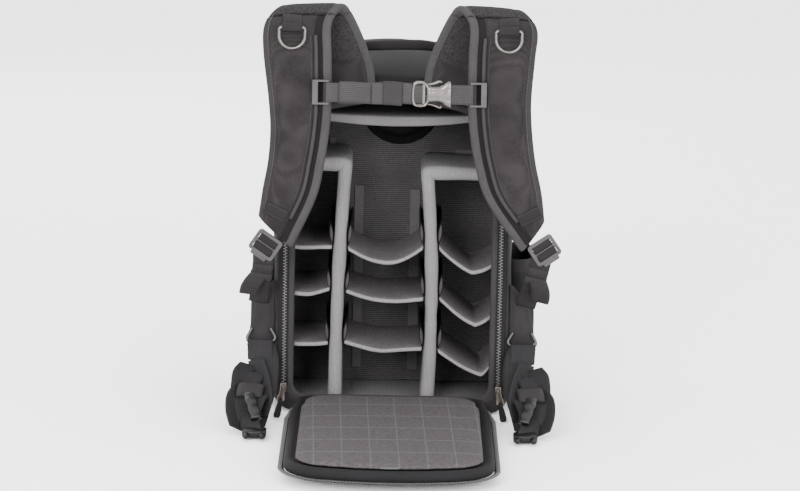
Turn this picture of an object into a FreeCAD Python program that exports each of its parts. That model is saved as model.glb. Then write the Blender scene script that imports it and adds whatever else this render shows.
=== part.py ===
"""Rear-access camera backpack: sizes in millimetres, +Z up, the wearer's side at -Y.

The origin is the middle of the flat base. The back panel is stored open, lying in front of the bag.
"""

import math
import os

import FreeCAD
import Part

V = FreeCAD.Vector
os.makedirs("parts", exist_ok=True)

# --- driving sizes -------------------------------------------------------------------------
BODY_WIDTH = 300.0
BODY_DEPTH = 190.0
BACK_HEIGHT = 438.0  # of the back's top edge
CROWN_RISE = 26.0  # how much higher the front's top edge stands
WALL = 12.0  # foam wall with its lining
BASE_THICK = 6.0
EDGE_ROUND = 10.0
CROWN_CORNER = 70.0
CROWN_ARCH = 500.0

OPENING_MARGIN = 25.0  # the back's border beside the opening
OPENING_SILL = 24.0
OPENING_DROP = 34.0  # from the back's top edge
OPENING_ARCH = 330.0
OPENING_CORNER = 55.0
RIM_THICK = 4.0

ZIP_WIDE = 4.0  # coil with its two rows of teeth
ZIP_THICK = 2.0
ZIP_OUT = 10.5  # from the opening's edge to the body's coil

PANEL_LAP = 2.0  # the panel over the opening's edge
PANEL_FOOT_INSET = 10.0
PANEL_THICK = 14.0
PANEL_GAP = 1.0  # closed panel to the back's face
LINER_MARGIN = 12.0
LINER_THICK = 6.0
BACK_PAD_THICK = 12.0

DIVIDER_THICK = 17.0
SHELF_THICK = 6.0
SHELF_GAP = 0.6
LINER_CLEAR = 3.0  # closed liner to the dividers' front edges

STRAP_THICK = 13.0
HARNESS_SHIFT = 4.0  # the harness hangs a little to the right
WEBBING = 25.0
WEBBING_THICK = 1.6
BELT_WEBBING = 38.0
LAYER_GAP = 0.4  # between stacked webbing layers

CROWN_HEIGHT = BACK_HEIGHT + CROWN_RISE
OPENING_WIDTH = BODY_WIDTH - 2 * OPENING_MARGIN
OPENING_TOP = BACK_HEIGHT - OPENING_DROP
PANEL_WIDTH = OPENING_WIDTH + 2 * PANEL_LAP
PANEL_FOOT_WIDTH = PANEL_WIDTH - 2 * PANEL_FOOT_INSET
HALF = BODY_WIDTH / 2
BACK = -BODY_DEPTH / 2
FRONT = BODY_DEPTH / 2
INNER = HALF - WALL


# --- drawing helpers -----------------------------------------------------------------------
def on_xz(y):
    return lambda u, v: V(u, y, v)


def on_yz(x):
    return lambda u, v: V(x, u, v)


def on_xy(z):
    return lambda u, v: V(u, v, z)


def rounded(points, radii, place):
    """A closed wire through 2-D points, each corner an arc of its own radius."""
    edges = []
    ends = []
    count = len(points)
    for i, (x, y) in enumerate(points):
        radius = radii[i] if isinstance(radii, (list, tuple)) else radii
        here = V(x, y, 0)
        before = (V(*points[i - 1], 0) - here).normalize()
        after = (V(*points[(i + 1) % count], 0) - here).normalize()
        half_angle = before.getAngle(after) / 2
        if radius <= 0 or half_angle > math.pi / 2 - 0.01:
            ends.append((here, here, here))
            continue
        cut = radius / math.tan(half_angle)
        middle = (before + after).normalize()
        centre = here + middle * (radius / math.sin(half_angle))
        ends.append((here + before * cut, centre - middle * radius, here + after * cut))
    for i, (start, middle, stop) in enumerate(ends):
        if (stop - start).Length > 1e-6:
            arc = [place(p.x, p.y) for p in (start, middle, stop)]
            edges.append(Part.Arc(*arc).toShape())
        following = ends[(i + 1) % count][0]
        if (following - stop).Length > 1e-6:
            line = Part.LineSegment(place(stop.x, stop.y), place(following.x, following.y))
            edges.append(line.toShape())
    return Part.Wire(edges)


def plate(points, radii, place, along):
    """A flat outline pushed along a vector."""
    return Part.Face(rounded(points, radii, place)).extrude(along)


def box(x, y, z):
    """A box from three (low, high) pairs."""
    return Part.makeBox(x[1] - x[0], y[1] - y[0], z[1] - z[0], V(x[0], y[0], z[0]))


def soft_box(x, y, z, radius):
    block = box(x, y, z)
    return block.makeFillet(radius, block.Edges)


def arched(half, foot, low, high, arch, corner, place, along, foot_rise=80.0):
    """A door-shaped plate: straight sides, rounded shoulders and a bowed top edge."""
    centre_v = high - arch
    corner_u = half - corner
    corner_v = centre_v + math.sqrt((arch - corner) ** 2 - corner_u**2)
    lean = math.atan2(corner_u, corner_v - centre_v)
    shoulder = (arch * math.sin(lean), centre_v + arch * math.cos(lean))
    swing = (math.pi / 2 - lean) / 2 + lean
    bend = (corner_u + corner * math.sin(swing), corner_v + corner * math.cos(swing))
    right = [(foot, low), (half, low + foot_rise)] if foot < half else [(half, low)]
    path = [(-u, v) for u, v in right] + [(-half, corner_v)]
    edges = []
    for a, b in zip(path, path[1:]):
        edges.append(Part.LineSegment(place(*a), place(*b)).toShape())
    left_arc = [(-half, corner_v), (-bend[0], bend[1]), (-shoulder[0], shoulder[1])]
    top_arc = [(-shoulder[0], shoulder[1]), (0, high), shoulder]
    right_arc = [shoulder, bend, (half, corner_v)]
    for points in (left_arc, top_arc, right_arc):
        edges.append(Part.Arc(*[place(*p) for p in points]).toShape())
    path = [(half, corner_v)] + right[::-1]
    for a, b in zip(path, path[1:] + [(-right[0][0], low)]):
        edges.append(Part.LineSegment(place(*a), place(*b)).toShape())
    return Part.Face(Part.Wire(edges)).extrude(along)


def band(stations, thick):
    """A padded strip through stations of (left point, right point, facing direction)."""
    wires = []
    for left, right, facing in stations:
        out = V(*facing).normalize() * (thick / 2)
        a, b = V(*left), V(*right)
        wires.append(Part.makePolygon([a + out, b + out, b - out, a - out, a + out]))
    return Part.makeLoft(wires, True, True)


def tube(points, radius):
    """A bent rod: straight runs joined by tangent arcs."""
    pts = [V(*p) for p in points]
    edges = []
    last = pts[0]
    for i in range(1, len(pts) - 1):
        before, after = pts[i - 1] - pts[i], pts[i + 1] - pts[i]
        half_angle = before.getAngle(after) / 2
        cut = 0.45 * min(before.Length, after.Length)
        before.normalize()
        after.normalize()
        start, stop = pts[i] + before * cut, pts[i] + after * cut
        bend = cut * math.tan(half_angle)
        centre_way = (before + after).normalize()
        middle = pts[i] + centre_way * (bend / math.sin(half_angle) - bend)
        edges.append(Part.LineSegment(last, start).toShape())
        edges.append(Part.Arc(start, middle, stop).toShape())
        last = stop
    edges.append(Part.LineSegment(last, pts[-1]).toShape())
    ring = Part.Wire(Part.makeCircle(radius, pts[0], pts[1] - pts[0]))
    return Part.Wire(edges).makePipeShell([ring], True, False)


def mirrored(shape, middle=0.0):
    return shape.mirror(V(middle, 0, 0), V(1, 0, 0))


def pair(shape, middle=0.0):
    """(left, right) copies of a left-hand shape, mirrored about X = middle."""
    return {"left": shape.copy(), "right": mirrored(shape, middle)}


def save(name, *shapes):
    solids = [s for shape in shapes for s in shape.Solids]
    whole = solids[0] if len(solids) == 1 else Part.makeCompound(solids)
    if not whole.isValid() or not solids:
        raise ValueError(name + " isn't a valid solid")
    whole.exportStep("parts/" + name + ".step")


# --- the bag's walls -----------------------------------------------------------------------
SLOPE = (CROWN_HEIGHT - BACK_HEIGHT) / BODY_DEPTH


def crown(y):
    """The top's height at a depth."""
    return BACK_HEIGHT + (y - BACK) * SLOPE


def body_form(inset, back, front):
    """The bag's solid form, taken in by a wall."""
    half = HALF - inset
    low = BASE_THICK if inset else 0
    top = CROWN_HEIGHT - inset
    arch = CROWN_ARCH - inset
    corner = CROWN_CORNER - inset
    depth = front - back
    form = arched(half, half, low, top, arch, corner, on_xz(back), V(0, depth, 0))
    over = [(back - 1, crown(back - 1) - inset), (front + 1, crown(front + 1) - inset),
            (front + 1, top + 60), (back - 1, top + 60)]
    return form, plate(over, 0, on_yz(-HALF - 1), V(BODY_WIDTH + 2, 0, 0))


def build_walls():
    form, over = body_form(0, BACK, FRONT)
    form = form.makeFillet(EDGE_ROUND, [e for e in form.Edges if e.BoundBox.YLength < 1e-6])
    outer = form.cut(over)
    hollow, over_hollow = body_form(WALL, BACK - 30, FRONT - WALL)
    inner = hollow.cut(over_hollow)
    shell = outer.cut(inner)
    wide = (-INNER, INNER)
    all_y = (BACK - 1, FRONT + 1)
    all_z = (-1, CROWN_HEIGHT + 1)
    save("side_wall_left", shell.common(box((-HALF - 1, -INNER), all_y, all_z)))
    save("side_wall_right", shell.common(box((INNER, HALF + 1), all_y, all_z)))
    save("base_wall", shell.common(box(wide, all_y, (-1, BASE_THICK))))
    behind = (BACK - 1, FRONT - WALL)
    save("top_wall", shell.common(box(wide, behind, (BASE_THICK + 1, CROWN_HEIGHT + 1))))
    ahead = (FRONT - WALL, FRONT + 1)
    save("front_wall", shell.common(box(wide, ahead, (BASE_THICK, CROWN_HEIGHT + 1))))
    slab = outer.common(box(wide, (BACK, BACK + RIM_THICK), all_z)).common(inner)
    clear = opening_plate(0, BACK - 1, RIM_THICK + 2)
    rim = slab.cut(clear)
    side = OPENING_WIDTH / 2
    strips = [
        rim.common(box((-HALF, -side), all_y, all_z)),
        rim.common(box((side, HALF), all_y, all_z)),
        rim.common(box((-side, side), all_y, (OPENING_TOP / 2, CROWN_HEIGHT))),
        rim.common(box((-side, side), all_y, (0, OPENING_TOP / 2))),
    ]
    save("opening_rim", *strips)


def opening_plate(grow, y, deep):
    """The opening's door shape, grown all round by a margin."""
    half = OPENING_WIDTH / 2 + grow
    return arched(half, half, OPENING_SILL, OPENING_TOP + grow, OPENING_ARCH + grow,
                  OPENING_CORNER + grow, on_xz(y), V(0, deep, 0))


def build_body_zip():
    outer = opening_plate(ZIP_OUT + ZIP_WIDE, BACK - ZIP_THICK, ZIP_THICK)
    inner = opening_plate(ZIP_OUT, BACK - ZIP_THICK - 1, ZIP_THICK + 2)
    save("body_zip", outer.cut(inner))


# --- inside --------------------------------------------------------------------------------
INSIDE_FRONT = BACK - PANEL_GAP + LINER_THICK + LINER_CLEAR  # the dividers' edge at the opening
SLEEVE_THICK = 4.0
SCOOP_X = 6.0
DEVICE_ROOM = 26.0  # room for a flat device behind its sleeve
SLEEVE_BACK = FRONT - WALL - DEVICE_ROOM - SLEEVE_THICK
INSIDE_DEEP = SLEEVE_BACK - 1.0 - INSIDE_FRONT
FLOOR = BASE_THICK
CEILING_TOP = OPENING_TOP - 13.0
CEILING_SAG = 4.0
CEILING_THICK = 11.0  # at its ends
CEILING_BELLY = 5.0  # thicker in the middle
CEILING_REACH = INNER - 30.0


def build_lining():
    low, high = FLOOR + 0.5, OPENING_TOP - 32.0
    place = on_xz(SLEEVE_BACK)
    wide = INNER - 1
    sleeve = plate([(-wide, low), (wide, low), (wide, high), (-wide, high)], [0, 0, 12, 12],
                   place, V(0, SLEEVE_THICK, 0))
    scoop_radius = 44.0
    scoop_drop = 36.0
    at = V(SCOOP_X, SLEEVE_BACK - 1, high - scoop_drop + scoop_radius)
    scoop = Part.makeCylinder(scoop_radius, SLEEVE_THICK + 2, at, V(0, 1, 0))
    save("device_sleeve", sleeve.cut(scoop))
    back = INSIDE_FRONT - 2
    place = on_xz(back)
    top, low = CEILING_TOP, CEILING_TOP - CEILING_THICK
    reach = CEILING_REACH
    upper = [place(-reach, top), place(0, top - CEILING_SAG), place(reach, top)]
    under = [place(reach, low), place(0, low - CEILING_SAG - CEILING_BELLY), place(-reach, low)]
    edges = [Part.Arc(*upper).toShape(), Part.LineSegment(upper[2], under[0]).toShape(),
             Part.Arc(*under).toShape(), Part.LineSegment(under[2], upper[0]).toShape()]
    deep = SLEEVE_BACK - 2 - back
    save("ceiling_pad", Part.Face(Part.Wire(edges)).extrude(V(0, deep, 0)))


# Each upright divider: its line's place at the top, the middle and the floor as shares of the
# inner half width, and how far its top stands below the opening's.
DIVIDERS = {
    "left": {"xs": (-0.449, -0.507, -0.522), "top": OPENING_TOP - 74.0, "side": -1},
    "right": {"xs": (0.297, 0.362, 0.333), "top": OPENING_TOP - 83.0, "side": 1},
}


def divider_x(name, z):
    """Where the divider's middle line stands at a height: a parabola through its three X."""
    top_x, mid_x, low_x = [INNER * share for share in DIVIDERS[name]["xs"]]
    t = (z - FLOOR) / (DIVIDERS[name]["top"] - FLOOR)
    return low_x * (1 - t) * (1 - 2 * t) + mid_x * 4 * t * (1 - t) + top_x * t * (2 * t - 1)


def build_dividers():
    for name, d in DIVIDERS.items():
        place = on_xz(INSIDE_FRONT)
        half = DIVIDER_THICK / 2
        top, low = d["top"], FLOOR + 0.5
        heights = (low, (low + top) / 2, top)
        near = [place(divider_x(name, z) + half, z) for z in heights]
        far = [place(divider_x(name, z) - half, z) for z in heights]
        edges = [Part.Arc(*near).toShape(), Part.LineSegment(near[2], far[2]).toShape(),
                 Part.Arc(*far[::-1]).toShape(), Part.LineSegment(far[0], near[0]).toShape()]
        upright = Part.Face(Part.Wire(edges)).extrude(V(0, INSIDE_DEEP, 0))
        wall = d["side"] * (INNER - 0.5)
        start = divider_x(name, top) + d["side"] * (half - DIVIDER_THICK)
        x = (min(wall, start), max(wall, start))
        arm = box(x, (INSIDE_FRONT, INSIDE_FRONT + INSIDE_DEEP), (top - DIVIDER_THICK, top))
        save("divider_" + name, upright.fuse(arm).removeSplitter())


# Each shelf: its underside's height at its left end, how far its belly hangs below the lower
# end, the belly's place across it as a share, and its height at its right end.
SHELVES = {
    "left": [(211, 0.6, 0.5, 211), (150, 0.6, 0.4, 157), (84, 0.6, 0.5, 86)],
    "middle": [(211, 19, 0.5, 213), (155, 4, 0.55, 146), (88, 4, 0.55, 81)],
    "right": [(214, 16, 0.55, 197), (147, 20, 0.62, 133), (79, 32, 0.74, 80)],
}


def shelf_ends(column, left_z, right_z):
    half = DIVIDER_THICK / 2 + SHELF_GAP + 0.4
    wall = INNER - SHELF_GAP - 0.4
    if column == "left":
        return -wall, divider_x("left", right_z) - half
    if column == "middle":
        return divider_x("left", left_z) + half, divider_x("right", right_z) - half
    return divider_x("right", left_z) + half, wall


def build_shelves():
    for column, shelves in SHELVES.items():
        for number, (left_z, hang, share, right_z) in enumerate(shelves, 1):
            x0, x1 = shelf_ends(column, left_z, right_z)
            belly = (x0 + (x1 - x0) * share, min(left_z, right_z) - hang)
            place = on_xz(INSIDE_FRONT + 2)
            under = [(x0, left_z), belly, (x1, right_z)]
            over = [(x, z + SHELF_THICK) for x, z in under[::-1]]
            wires = []
            for line in (under, over):
                curve = Part.BSplineCurve()
                curve.interpolate([place(*p) for p in line])
                wires.append(curve.toShape())
            ends = [Part.LineSegment(place(*under[2]), place(*over[0])).toShape(),
                    Part.LineSegment(place(*over[2]), place(*under[0])).toShape()]
            outline = Part.Wire([wires[0], ends[0], wires[1], ends[1]])
            shelf = Part.Face(outline).extrude(V(0, INSIDE_DEEP - 4, 0))
            save("shelf_%s_%d" % (column, number), shelf)


# --- outside pockets and handle ------------------------------------------------------------
POCKET_TOP = 196.0
POCKET_WALL = 4.0
POCKET_OUT = 32.0
POCKET_Y = (BACK + 37.0, FRONT - 29.0)


def build_pockets():
    wide = HALF - 28
    front = soft_box((-wide, wide), (FRONT + 0.3, FRONT + 30), (34, BACK_HEIGHT - 46), 12)
    save("front_pocket", front)
    low = 22.0
    half_y = (POCKET_Y[1] - POCKET_Y[0]) / 2
    mid_y = (POCKET_Y[1] + POCKET_Y[0]) / 2
    face = -HALF - 0.2

    def cup(inset, floor, ceiling):
        reach = POCKET_OUT - inset
        wide = half_y - inset
        outline = [(face, mid_y - wide), (face - reach, mid_y - wide),
                   (face - reach, mid_y + wide), (face, mid_y + wide)]
        return plate(outline, [0, 20 - inset, 20 - inset, 0], on_xy(floor),
                     V(0, 0, ceiling - floor))

    pocket = cup(0, low, POCKET_TOP).cut(cup(POCKET_WALL, low + POCKET_WALL, POCKET_TOP + 1))
    for side, shape in pair(pocket).items():
        save("side_pocket_" + side, shape)


WING_THICK = 6.0
WING_Y = BACK + 3.0


def build_wings():
    """Triangular gussets at the lower corners, that take the strap and belt loads."""
    outline = [(-HALF - 0.3, 172), (-HALF - 26, 146), (-HALF - 35, 96), (-HALF - 28, 78),
               (-HALF - 0.3, 70)]
    wing = plate(outline, [0, 6, 8, 6, 0], on_xz(WING_Y), V(0, WING_THICK, 0))
    save("side_wings", *pair(wing).values())


HANDLE_HALF = 66.0
HANDLE_RADIUS = 7.5
HANDLE_Y = BACK + 37.0


def build_handle():
    base = crown(HANDLE_Y) - 4.0
    top = base + 34.0
    path = [(-HANDLE_HALF, HANDLE_Y, base + 9), (-HANDLE_HALF + 12, HANDLE_Y, top - 6),
            (-HANDLE_HALF + 38, HANDLE_Y, top), (HANDLE_HALF - 38, HANDLE_Y, top + 1),
            (HANDLE_HALF - 12, HANDLE_Y, top - 6), (HANDLE_HALF, HANDLE_Y, base + 9)]
    path = [(x + HARNESS_SHIFT, y, z) for x, y, z in path]
    save("grab_handle", tube(path, HANDLE_RADIUS))


# --- the back panel, lying open ------------------------------------------------------------
HINGE_OUT = 8.0  # behind the closed panel's inner face
HINGE_Y = BACK - PANEL_GAP - HINGE_OUT
HINGE_Z = BACK_PAD_THICK + PANEL_THICK - HINGE_OUT
PANEL_LENGTH = OPENING_TOP + PANEL_LAP + 2.0 - HINGE_Z  # hinge line to free edge
PANEL_TOP = HINGE_Z + HINGE_OUT  # its inner face, which shuts on the back
PANEL_FOOT = 4.0  # hinge line to the panel's near edge


def panel_plate(inset, low, thick, foot=PANEL_FOOT):
    """A door-shaped layer of the open panel, from height low."""
    half = PANEL_WIDTH / 2 - inset
    narrow = PANEL_FOOT_WIDTH / 2 - inset

    def place(u, v):
        return V(u, HINGE_Y - v, low)

    return arched(half, narrow, foot + max(inset, 0), PANEL_LENGTH - inset,
                  OPENING_ARCH - inset, OPENING_CORNER - inset, place, V(0, 0, thick))


def build_panel():
    under = PANEL_TOP - PANEL_THICK
    save("panel_pad", panel_plate(0, under, PANEL_THICK))
    save("panel_liner", panel_plate(LINER_MARGIN, PANEL_TOP, LINER_THICK))
    coil = panel_plate(-6, under, ZIP_THICK, foot=PANEL_FOOT + 22)
    save("panel_zip", coil.cut(panel_plate(-0.3, under - 1, ZIP_THICK + 2, foot=0)))
    pads = []
    for side in (-1, 1):
        x = sorted((side * 16.0, side * (PANEL_WIDTH / 2 - 23.0)))
        pads.append(soft_box(x, (HINGE_Y - PANEL_LENGTH + 60, HINGE_Y - 142),
                             (under - BACK_PAD_THICK, under), 2.8))
    pads.append(soft_box((-98, 98), (HINGE_Y - 128, HINGE_Y - 22),
                         (under - BACK_PAD_THICK, under), 2.8))
    save("back_pads", *pads)


# --- zip sliders and pulls -----------------------------------------------------------------
SLIDER_X = OPENING_WIDTH / 2 + ZIP_OUT + ZIP_WIDE / 2
SLIDER_Z = 33.0
SLIDER_WIDE = 8.0
SLIDER_LONG = 12.0
SLIDER_Y = BACK - ZIP_THICK - 0.35  # its back, just off the coil
SLIDER_DEEP = 3.2
PULL_PIN_Y = SLIDER_Y - SLIDER_DEEP - 3.2
PULL_LENGTH = 46.0
PULL_THICK = 2.4


def build_sliders():
    x = (-SLIDER_X - SLIDER_WIDE / 2, -SLIDER_X + SLIDER_WIDE / 2)
    y = (SLIDER_Y - SLIDER_DEEP, SLIDER_Y)
    z = (SLIDER_Z - SLIDER_LONG / 2, SLIDER_Z + SLIDER_LONG / 2)
    block = soft_box(x, y, z, 1.2)
    post_wide = 1.3
    bail_y = PULL_PIN_Y - 2.4
    bail_path = [(-SLIDER_X, y[0] + 0.8, z[1] - 2.0), (-SLIDER_X, bail_y, z[1] - 2.2),
                 (-SLIDER_X, bail_y, z[0] + 2.2), (-SLIDER_X, y[0] + 0.8, z[0] + 2.0)]
    slider = block.fuse(tube(bail_path, post_wide / 2))
    drop = math.asin((SLIDER_Z - 3.0) / PULL_LENGTH)
    way = V(0, -math.cos(drop), -math.sin(drop))
    pin = V(-SLIDER_X, PULL_PIN_Y, SLIDER_Z)
    half = 4.2
    outline = [(-half, -1), (half, -1), (half * 0.8, 18), (half, PULL_LENGTH), (-half, PULL_LENGTH),
               (-half * 0.8, 18)]
    face = way.cross(V(1, 0, 0)).normalize()

    def place(u, v):
        return pin + V(u, 0, 0) + way * v - face * (PULL_THICK / 2)

    tab = plate(outline, [0.9, 0.9, 0, 2, 2, 0], place, face * PULL_THICK)
    eye = [(-2.2, 1.0), (2.2, 1.0), (2.2, 6.2), (-2.2, 6.2)]

    def place_eye(u, v):
        return place(u, v) - face

    tab = tab.cut(plate(eye, 1.0, place_eye, face * (PULL_THICK + 2)))
    for side in ("left", "right"):
        save("zip_slider_" + side, pair(slider)[side])
        save("zip_pull_" + side, pair(tab)[side])


# --- shoulder straps -----------------------------------------------------------------------
# Stations from the root over the shoulder to the tip, for the left strap about X = 0:
# (left X, left Z, right X, right Z, Y of the middle line, facing direction in Y and Z), with
# Y from the back's face and Z from its top edge.
STRAP = [
    (-106, -14, -30, -10, -10, (1, 0)),
    (-110, 14, -34, 17, -10, (1, 0)),
    (-121, 46, -46, 50, -13, (1, -0.15)),
    (-133, 72, -58, 76, -20, (1, -0.6)),
    (-148, 87, -68, 91, -34, (0.25, -1)),
    (-162, 82, -78, 87, -48, (-0.6, -1)),
    (-171, 66, -86, 70, -57, (-1, -0.45)),
    (-170.5, 34, -85, 34, -62, (-1, -0.06)),
    (-164, -18, -84, -18, -63, (-1, 0)),
    (-161, -58, -86, -58, -63, (-1, 0)),
    (-163, -98, -92, -102, -63, (-1, 0)),
    (-169.5, -136, -102, -148, -62, (-1, 0)),
    (-174.5, -172, -132, -214, -61, (-1, 0)),
]
# How much further out the right strap's outer and inner edges hang at its last stations.
SPLAY = [(0, 0)] * 7 + [(-2, 0), (1, 1), (6, 2), (9.5, 4), (11.5, 10), (11, 26)]
STRAP_HANG = BACK - 63.0  # the hanging part's middle plane
STRAP_FACE = STRAP_HANG - STRAP_THICK / 2  # the hanging part's outer face
RAIL_RADIUS = 1.8
RING_WIRE = 1.9
RING_HALF = WEBBING / 2 + 3.5
RING_DROP = RING_HALF + 10.0
RING_CORNER = 3.2
RAIL_X = 105.0


def strap_band(side):
    stations = []
    for (outer_x, outer_z, inner_x, inner_z, y, facing), (outer_out, inner_out) in zip(STRAP, SPLAY):
        if side == "left":
            outer, inner = outer_x, inner_x
        else:
            outer, inner = -outer_x + outer_out, -inner_x + inner_out
        a = (outer + HARNESS_SHIFT, BACK + y, BACK_HEIGHT + outer_z)
        b = (inner + HARNESS_SHIFT, BACK + y, BACK_HEIGHT + inner_z)
        ends = (a, b) if side == "left" else (b, a)
        stations.append((*ends, (0, -facing[0], -facing[1])))
    return band(stations, STRAP_THICK)


def build_straps():
    rail_y = STRAP_FACE - RAIL_RADIUS - 0.3
    path = [(0, 36), (0, -46), (-3, -86), (-10, -128), (-20, -160)]
    rail = tube([(x - RAIL_X, rail_y, BACK_HEIGHT + z) for x, z in path], RAIL_RADIUS)
    band_low, band_high = BACK_HEIGHT + 70.0, BACK_HEIGHT + 86.0
    band_x = (-147.0, -147.0 + WEBBING)
    band_y = STRAP_FACE - 3.5
    ring_at = V(band_x[0] + WEBBING / 2, band_y - 3.0, band_low)
    across = V(1, 0, 0)
    loop = Part.makeCylinder(RING_WIRE + 2.3, WEBBING, ring_at - across * (WEBBING / 2), across)
    bore = Part.makeCylinder(RING_WIRE + 0.5, 2 * WEBBING, ring_at - across * WEBBING, across)
    chest = loop.cut(bore)
    tongue = band([((band_x[0], band_y - 2.6, band_low + 4), (band_x[1], band_y - 2.6, band_low + 4),
                    (0, -1, 0.6)),
                   ((band_x[0], band_y + 15.5, band_high + 4), (band_x[1], band_y + 15.5, band_high + 4),
                    (0, -1, 1.1))], WEBBING_THICK)
    chest = chest.fuse(tongue).removeSplitter()
    for side in ("left", "right"):
        save("shoulder_strap_" + side, strap_band(side))
        for name, shape in (("slider_rail", rail), ("chest_band", chest), ("d_ring", d_ring(ring_at))):
            moved = pair(shape)[side]
            moved.translate(V(HARNESS_SHIFT, 0, 0))
            save(name + "_" + side, moved)



def d_ring(at):
    """A welded wire D: a straight bar on the loop's axis and a half-round bow below it."""
    x, y, z = at
    half, corner = RING_HALF, RING_CORNER
    leg = RING_DROP - half
    bow = Part.makeTorus(half, RING_WIRE, V(x, y, z - leg), V(0, -1, 0), -180, 180, 360)
    below = box((x - 2 * half, x + 2 * half), (y - 3, y + 3), (z - 2 * RING_DROP, z - leg))
    pieces = [bow.common(below)]
    pieces.append(Part.makeCylinder(RING_WIRE, 2 * (half - corner), V(x - half + corner, y, z), V(1, 0, 0)))
    for side in (-1, 1):
        pieces.append(Part.makeCylinder(RING_WIRE, leg - corner, V(x + side * half, y, z - leg), V(0, 0, 1)))
        bend = Part.makeTorus(corner, RING_WIRE, V(x + side * (half - corner), y, z - corner), V(0, 1, 0))
        spans = sorted((x + side * (half - corner), x + side * (half + 3)))
        pieces.append(bend.common(box(spans, (y - 3, y + 3), (z - corner, z + 3))))
    return pieces[0].multiFuse(pieces[1:])


# --- strap adjusters and load webbing ------------------------------------------------------
LOCK_X = {"left": 160.5, "right": 190.0}  # the straps' ends hang to the right
LOCK_Z = BACK_HEIGHT - 207.0
LOCK_LEAN = math.radians(34.5)  # its bars' slope across the strap
LOCK_WIDE = WEBBING + 10.0
LOCK_TALL = 29.0
LOCK_THICK = 5.0
LOCK_BAR = 5.0
ANCHOR = V(-HALF - 21.0, WING_Y - 3.0, 146.0)  # where the load webbing leaves its wing


def lock_frame():
    """(across, down, out) unit vectors of the adjuster's own plane."""
    across = V(math.cos(LOCK_LEAN), 0, -math.sin(LOCK_LEAN))
    down = V(-math.sin(LOCK_LEAN), 0, -math.cos(LOCK_LEAN))
    return across, down, V(0, -1, 0)


def lock_plate(at, u, v, w, radius=0.0):
    across, down, out = lock_frame()
    corners = [(u[0], v[0]), (u[1], v[0]), (u[1], v[1]), (u[0], v[1])]
    low = at + out * w[0]
    return plate(corners, radius, lambda a, b: low + across * a + down * b, V(0, -(w[1] - w[0]), 0))


def webbing_layer(start, stop, lift, across, facing):
    off = facing * lift
    ends = []
    for p in (start + off, stop + off):
        ends.append((tuple(p - across), tuple(p + across), tuple(facing)))
    return band(ends, WEBBING_THICK)


def adjuster(lock_x):
    """A left-hand ladder lock, the load webbing up to it and the tail hanging from it."""
    at = V(-lock_x, STRAP_HANG, LOCK_Z)
    wide, tall = LOCK_WIDE / 2, LOCK_TALL / 2
    frame = lock_plate(at, (-wide, wide), (-tall, tall), (0, LOCK_THICK), 4.0)
    slot_half = WEBBING / 2 + 0.8
    slot = 7.4
    deep = (-1, LOCK_THICK + 1)
    first = lock_plate(at, (-slot_half, slot_half), (-tall + LOCK_BAR, -tall + LOCK_BAR + slot), deep, 1.0)
    low_bar = tall - LOCK_BAR + 1
    second = lock_plate(at, (-slot_half, slot_half), (low_bar - slot, low_bar), deep, 1.0)
    lip = lock_plate(at, (-11, 11), (tall - 0.5, tall + 4.5), (1.2, 3.4), 2.0)
    lock = frame.cut(first).cut(second).fuse(lip).removeSplitter()
    way = (at - ANCHOR).normalize()
    across = way.cross(V(0, 1, 0)).normalize() * (WEBBING / 2)
    facing = way.cross(across).normalize()
    if facing.y > 0:
        facing = facing * -1
    low = ANCHOR + way * 2.0
    long = (at - ANCHOR).Length - 14.0
    load = webbing_layer(low, low + way * long, 0, across, facing)
    step = WEBBING_THICK + LAYER_GAP
    tail = webbing_layer(low + way * 8.0, low + way * long, step, across, facing)
    roll_at = low + way * (long * 0.5) + facing * (step * 2 + 4.2)
    across_unit = V(across).normalize()
    roll = Part.makeCylinder(4.0, WEBBING, roll_at - across, across_unit)
    end_tab = webbing_layer(low + way * 2.0 + V(-12, 0, -8), low + way * 34.0 + V(-14, 0, -4),
                            step * 2 + 3, across, facing)
    return {"strap_lock": [lock], "load_webbing": [load], "webbing_tail": [tail, roll, end_tab]}


def build_adjusters():
    for side, lock_x in LOCK_X.items():
        for name, shapes in adjuster(lock_x).items():
            save(name + "_" + side, *[pair(shape)[side] for shape in shapes])


# --- sternum strap -------------------------------------------------------------------------
CHEST_Z = BACK_HEIGHT - 10.0
CHEST_Y = STRAP_FACE - 7.5  # the webbing's middle plane


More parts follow.
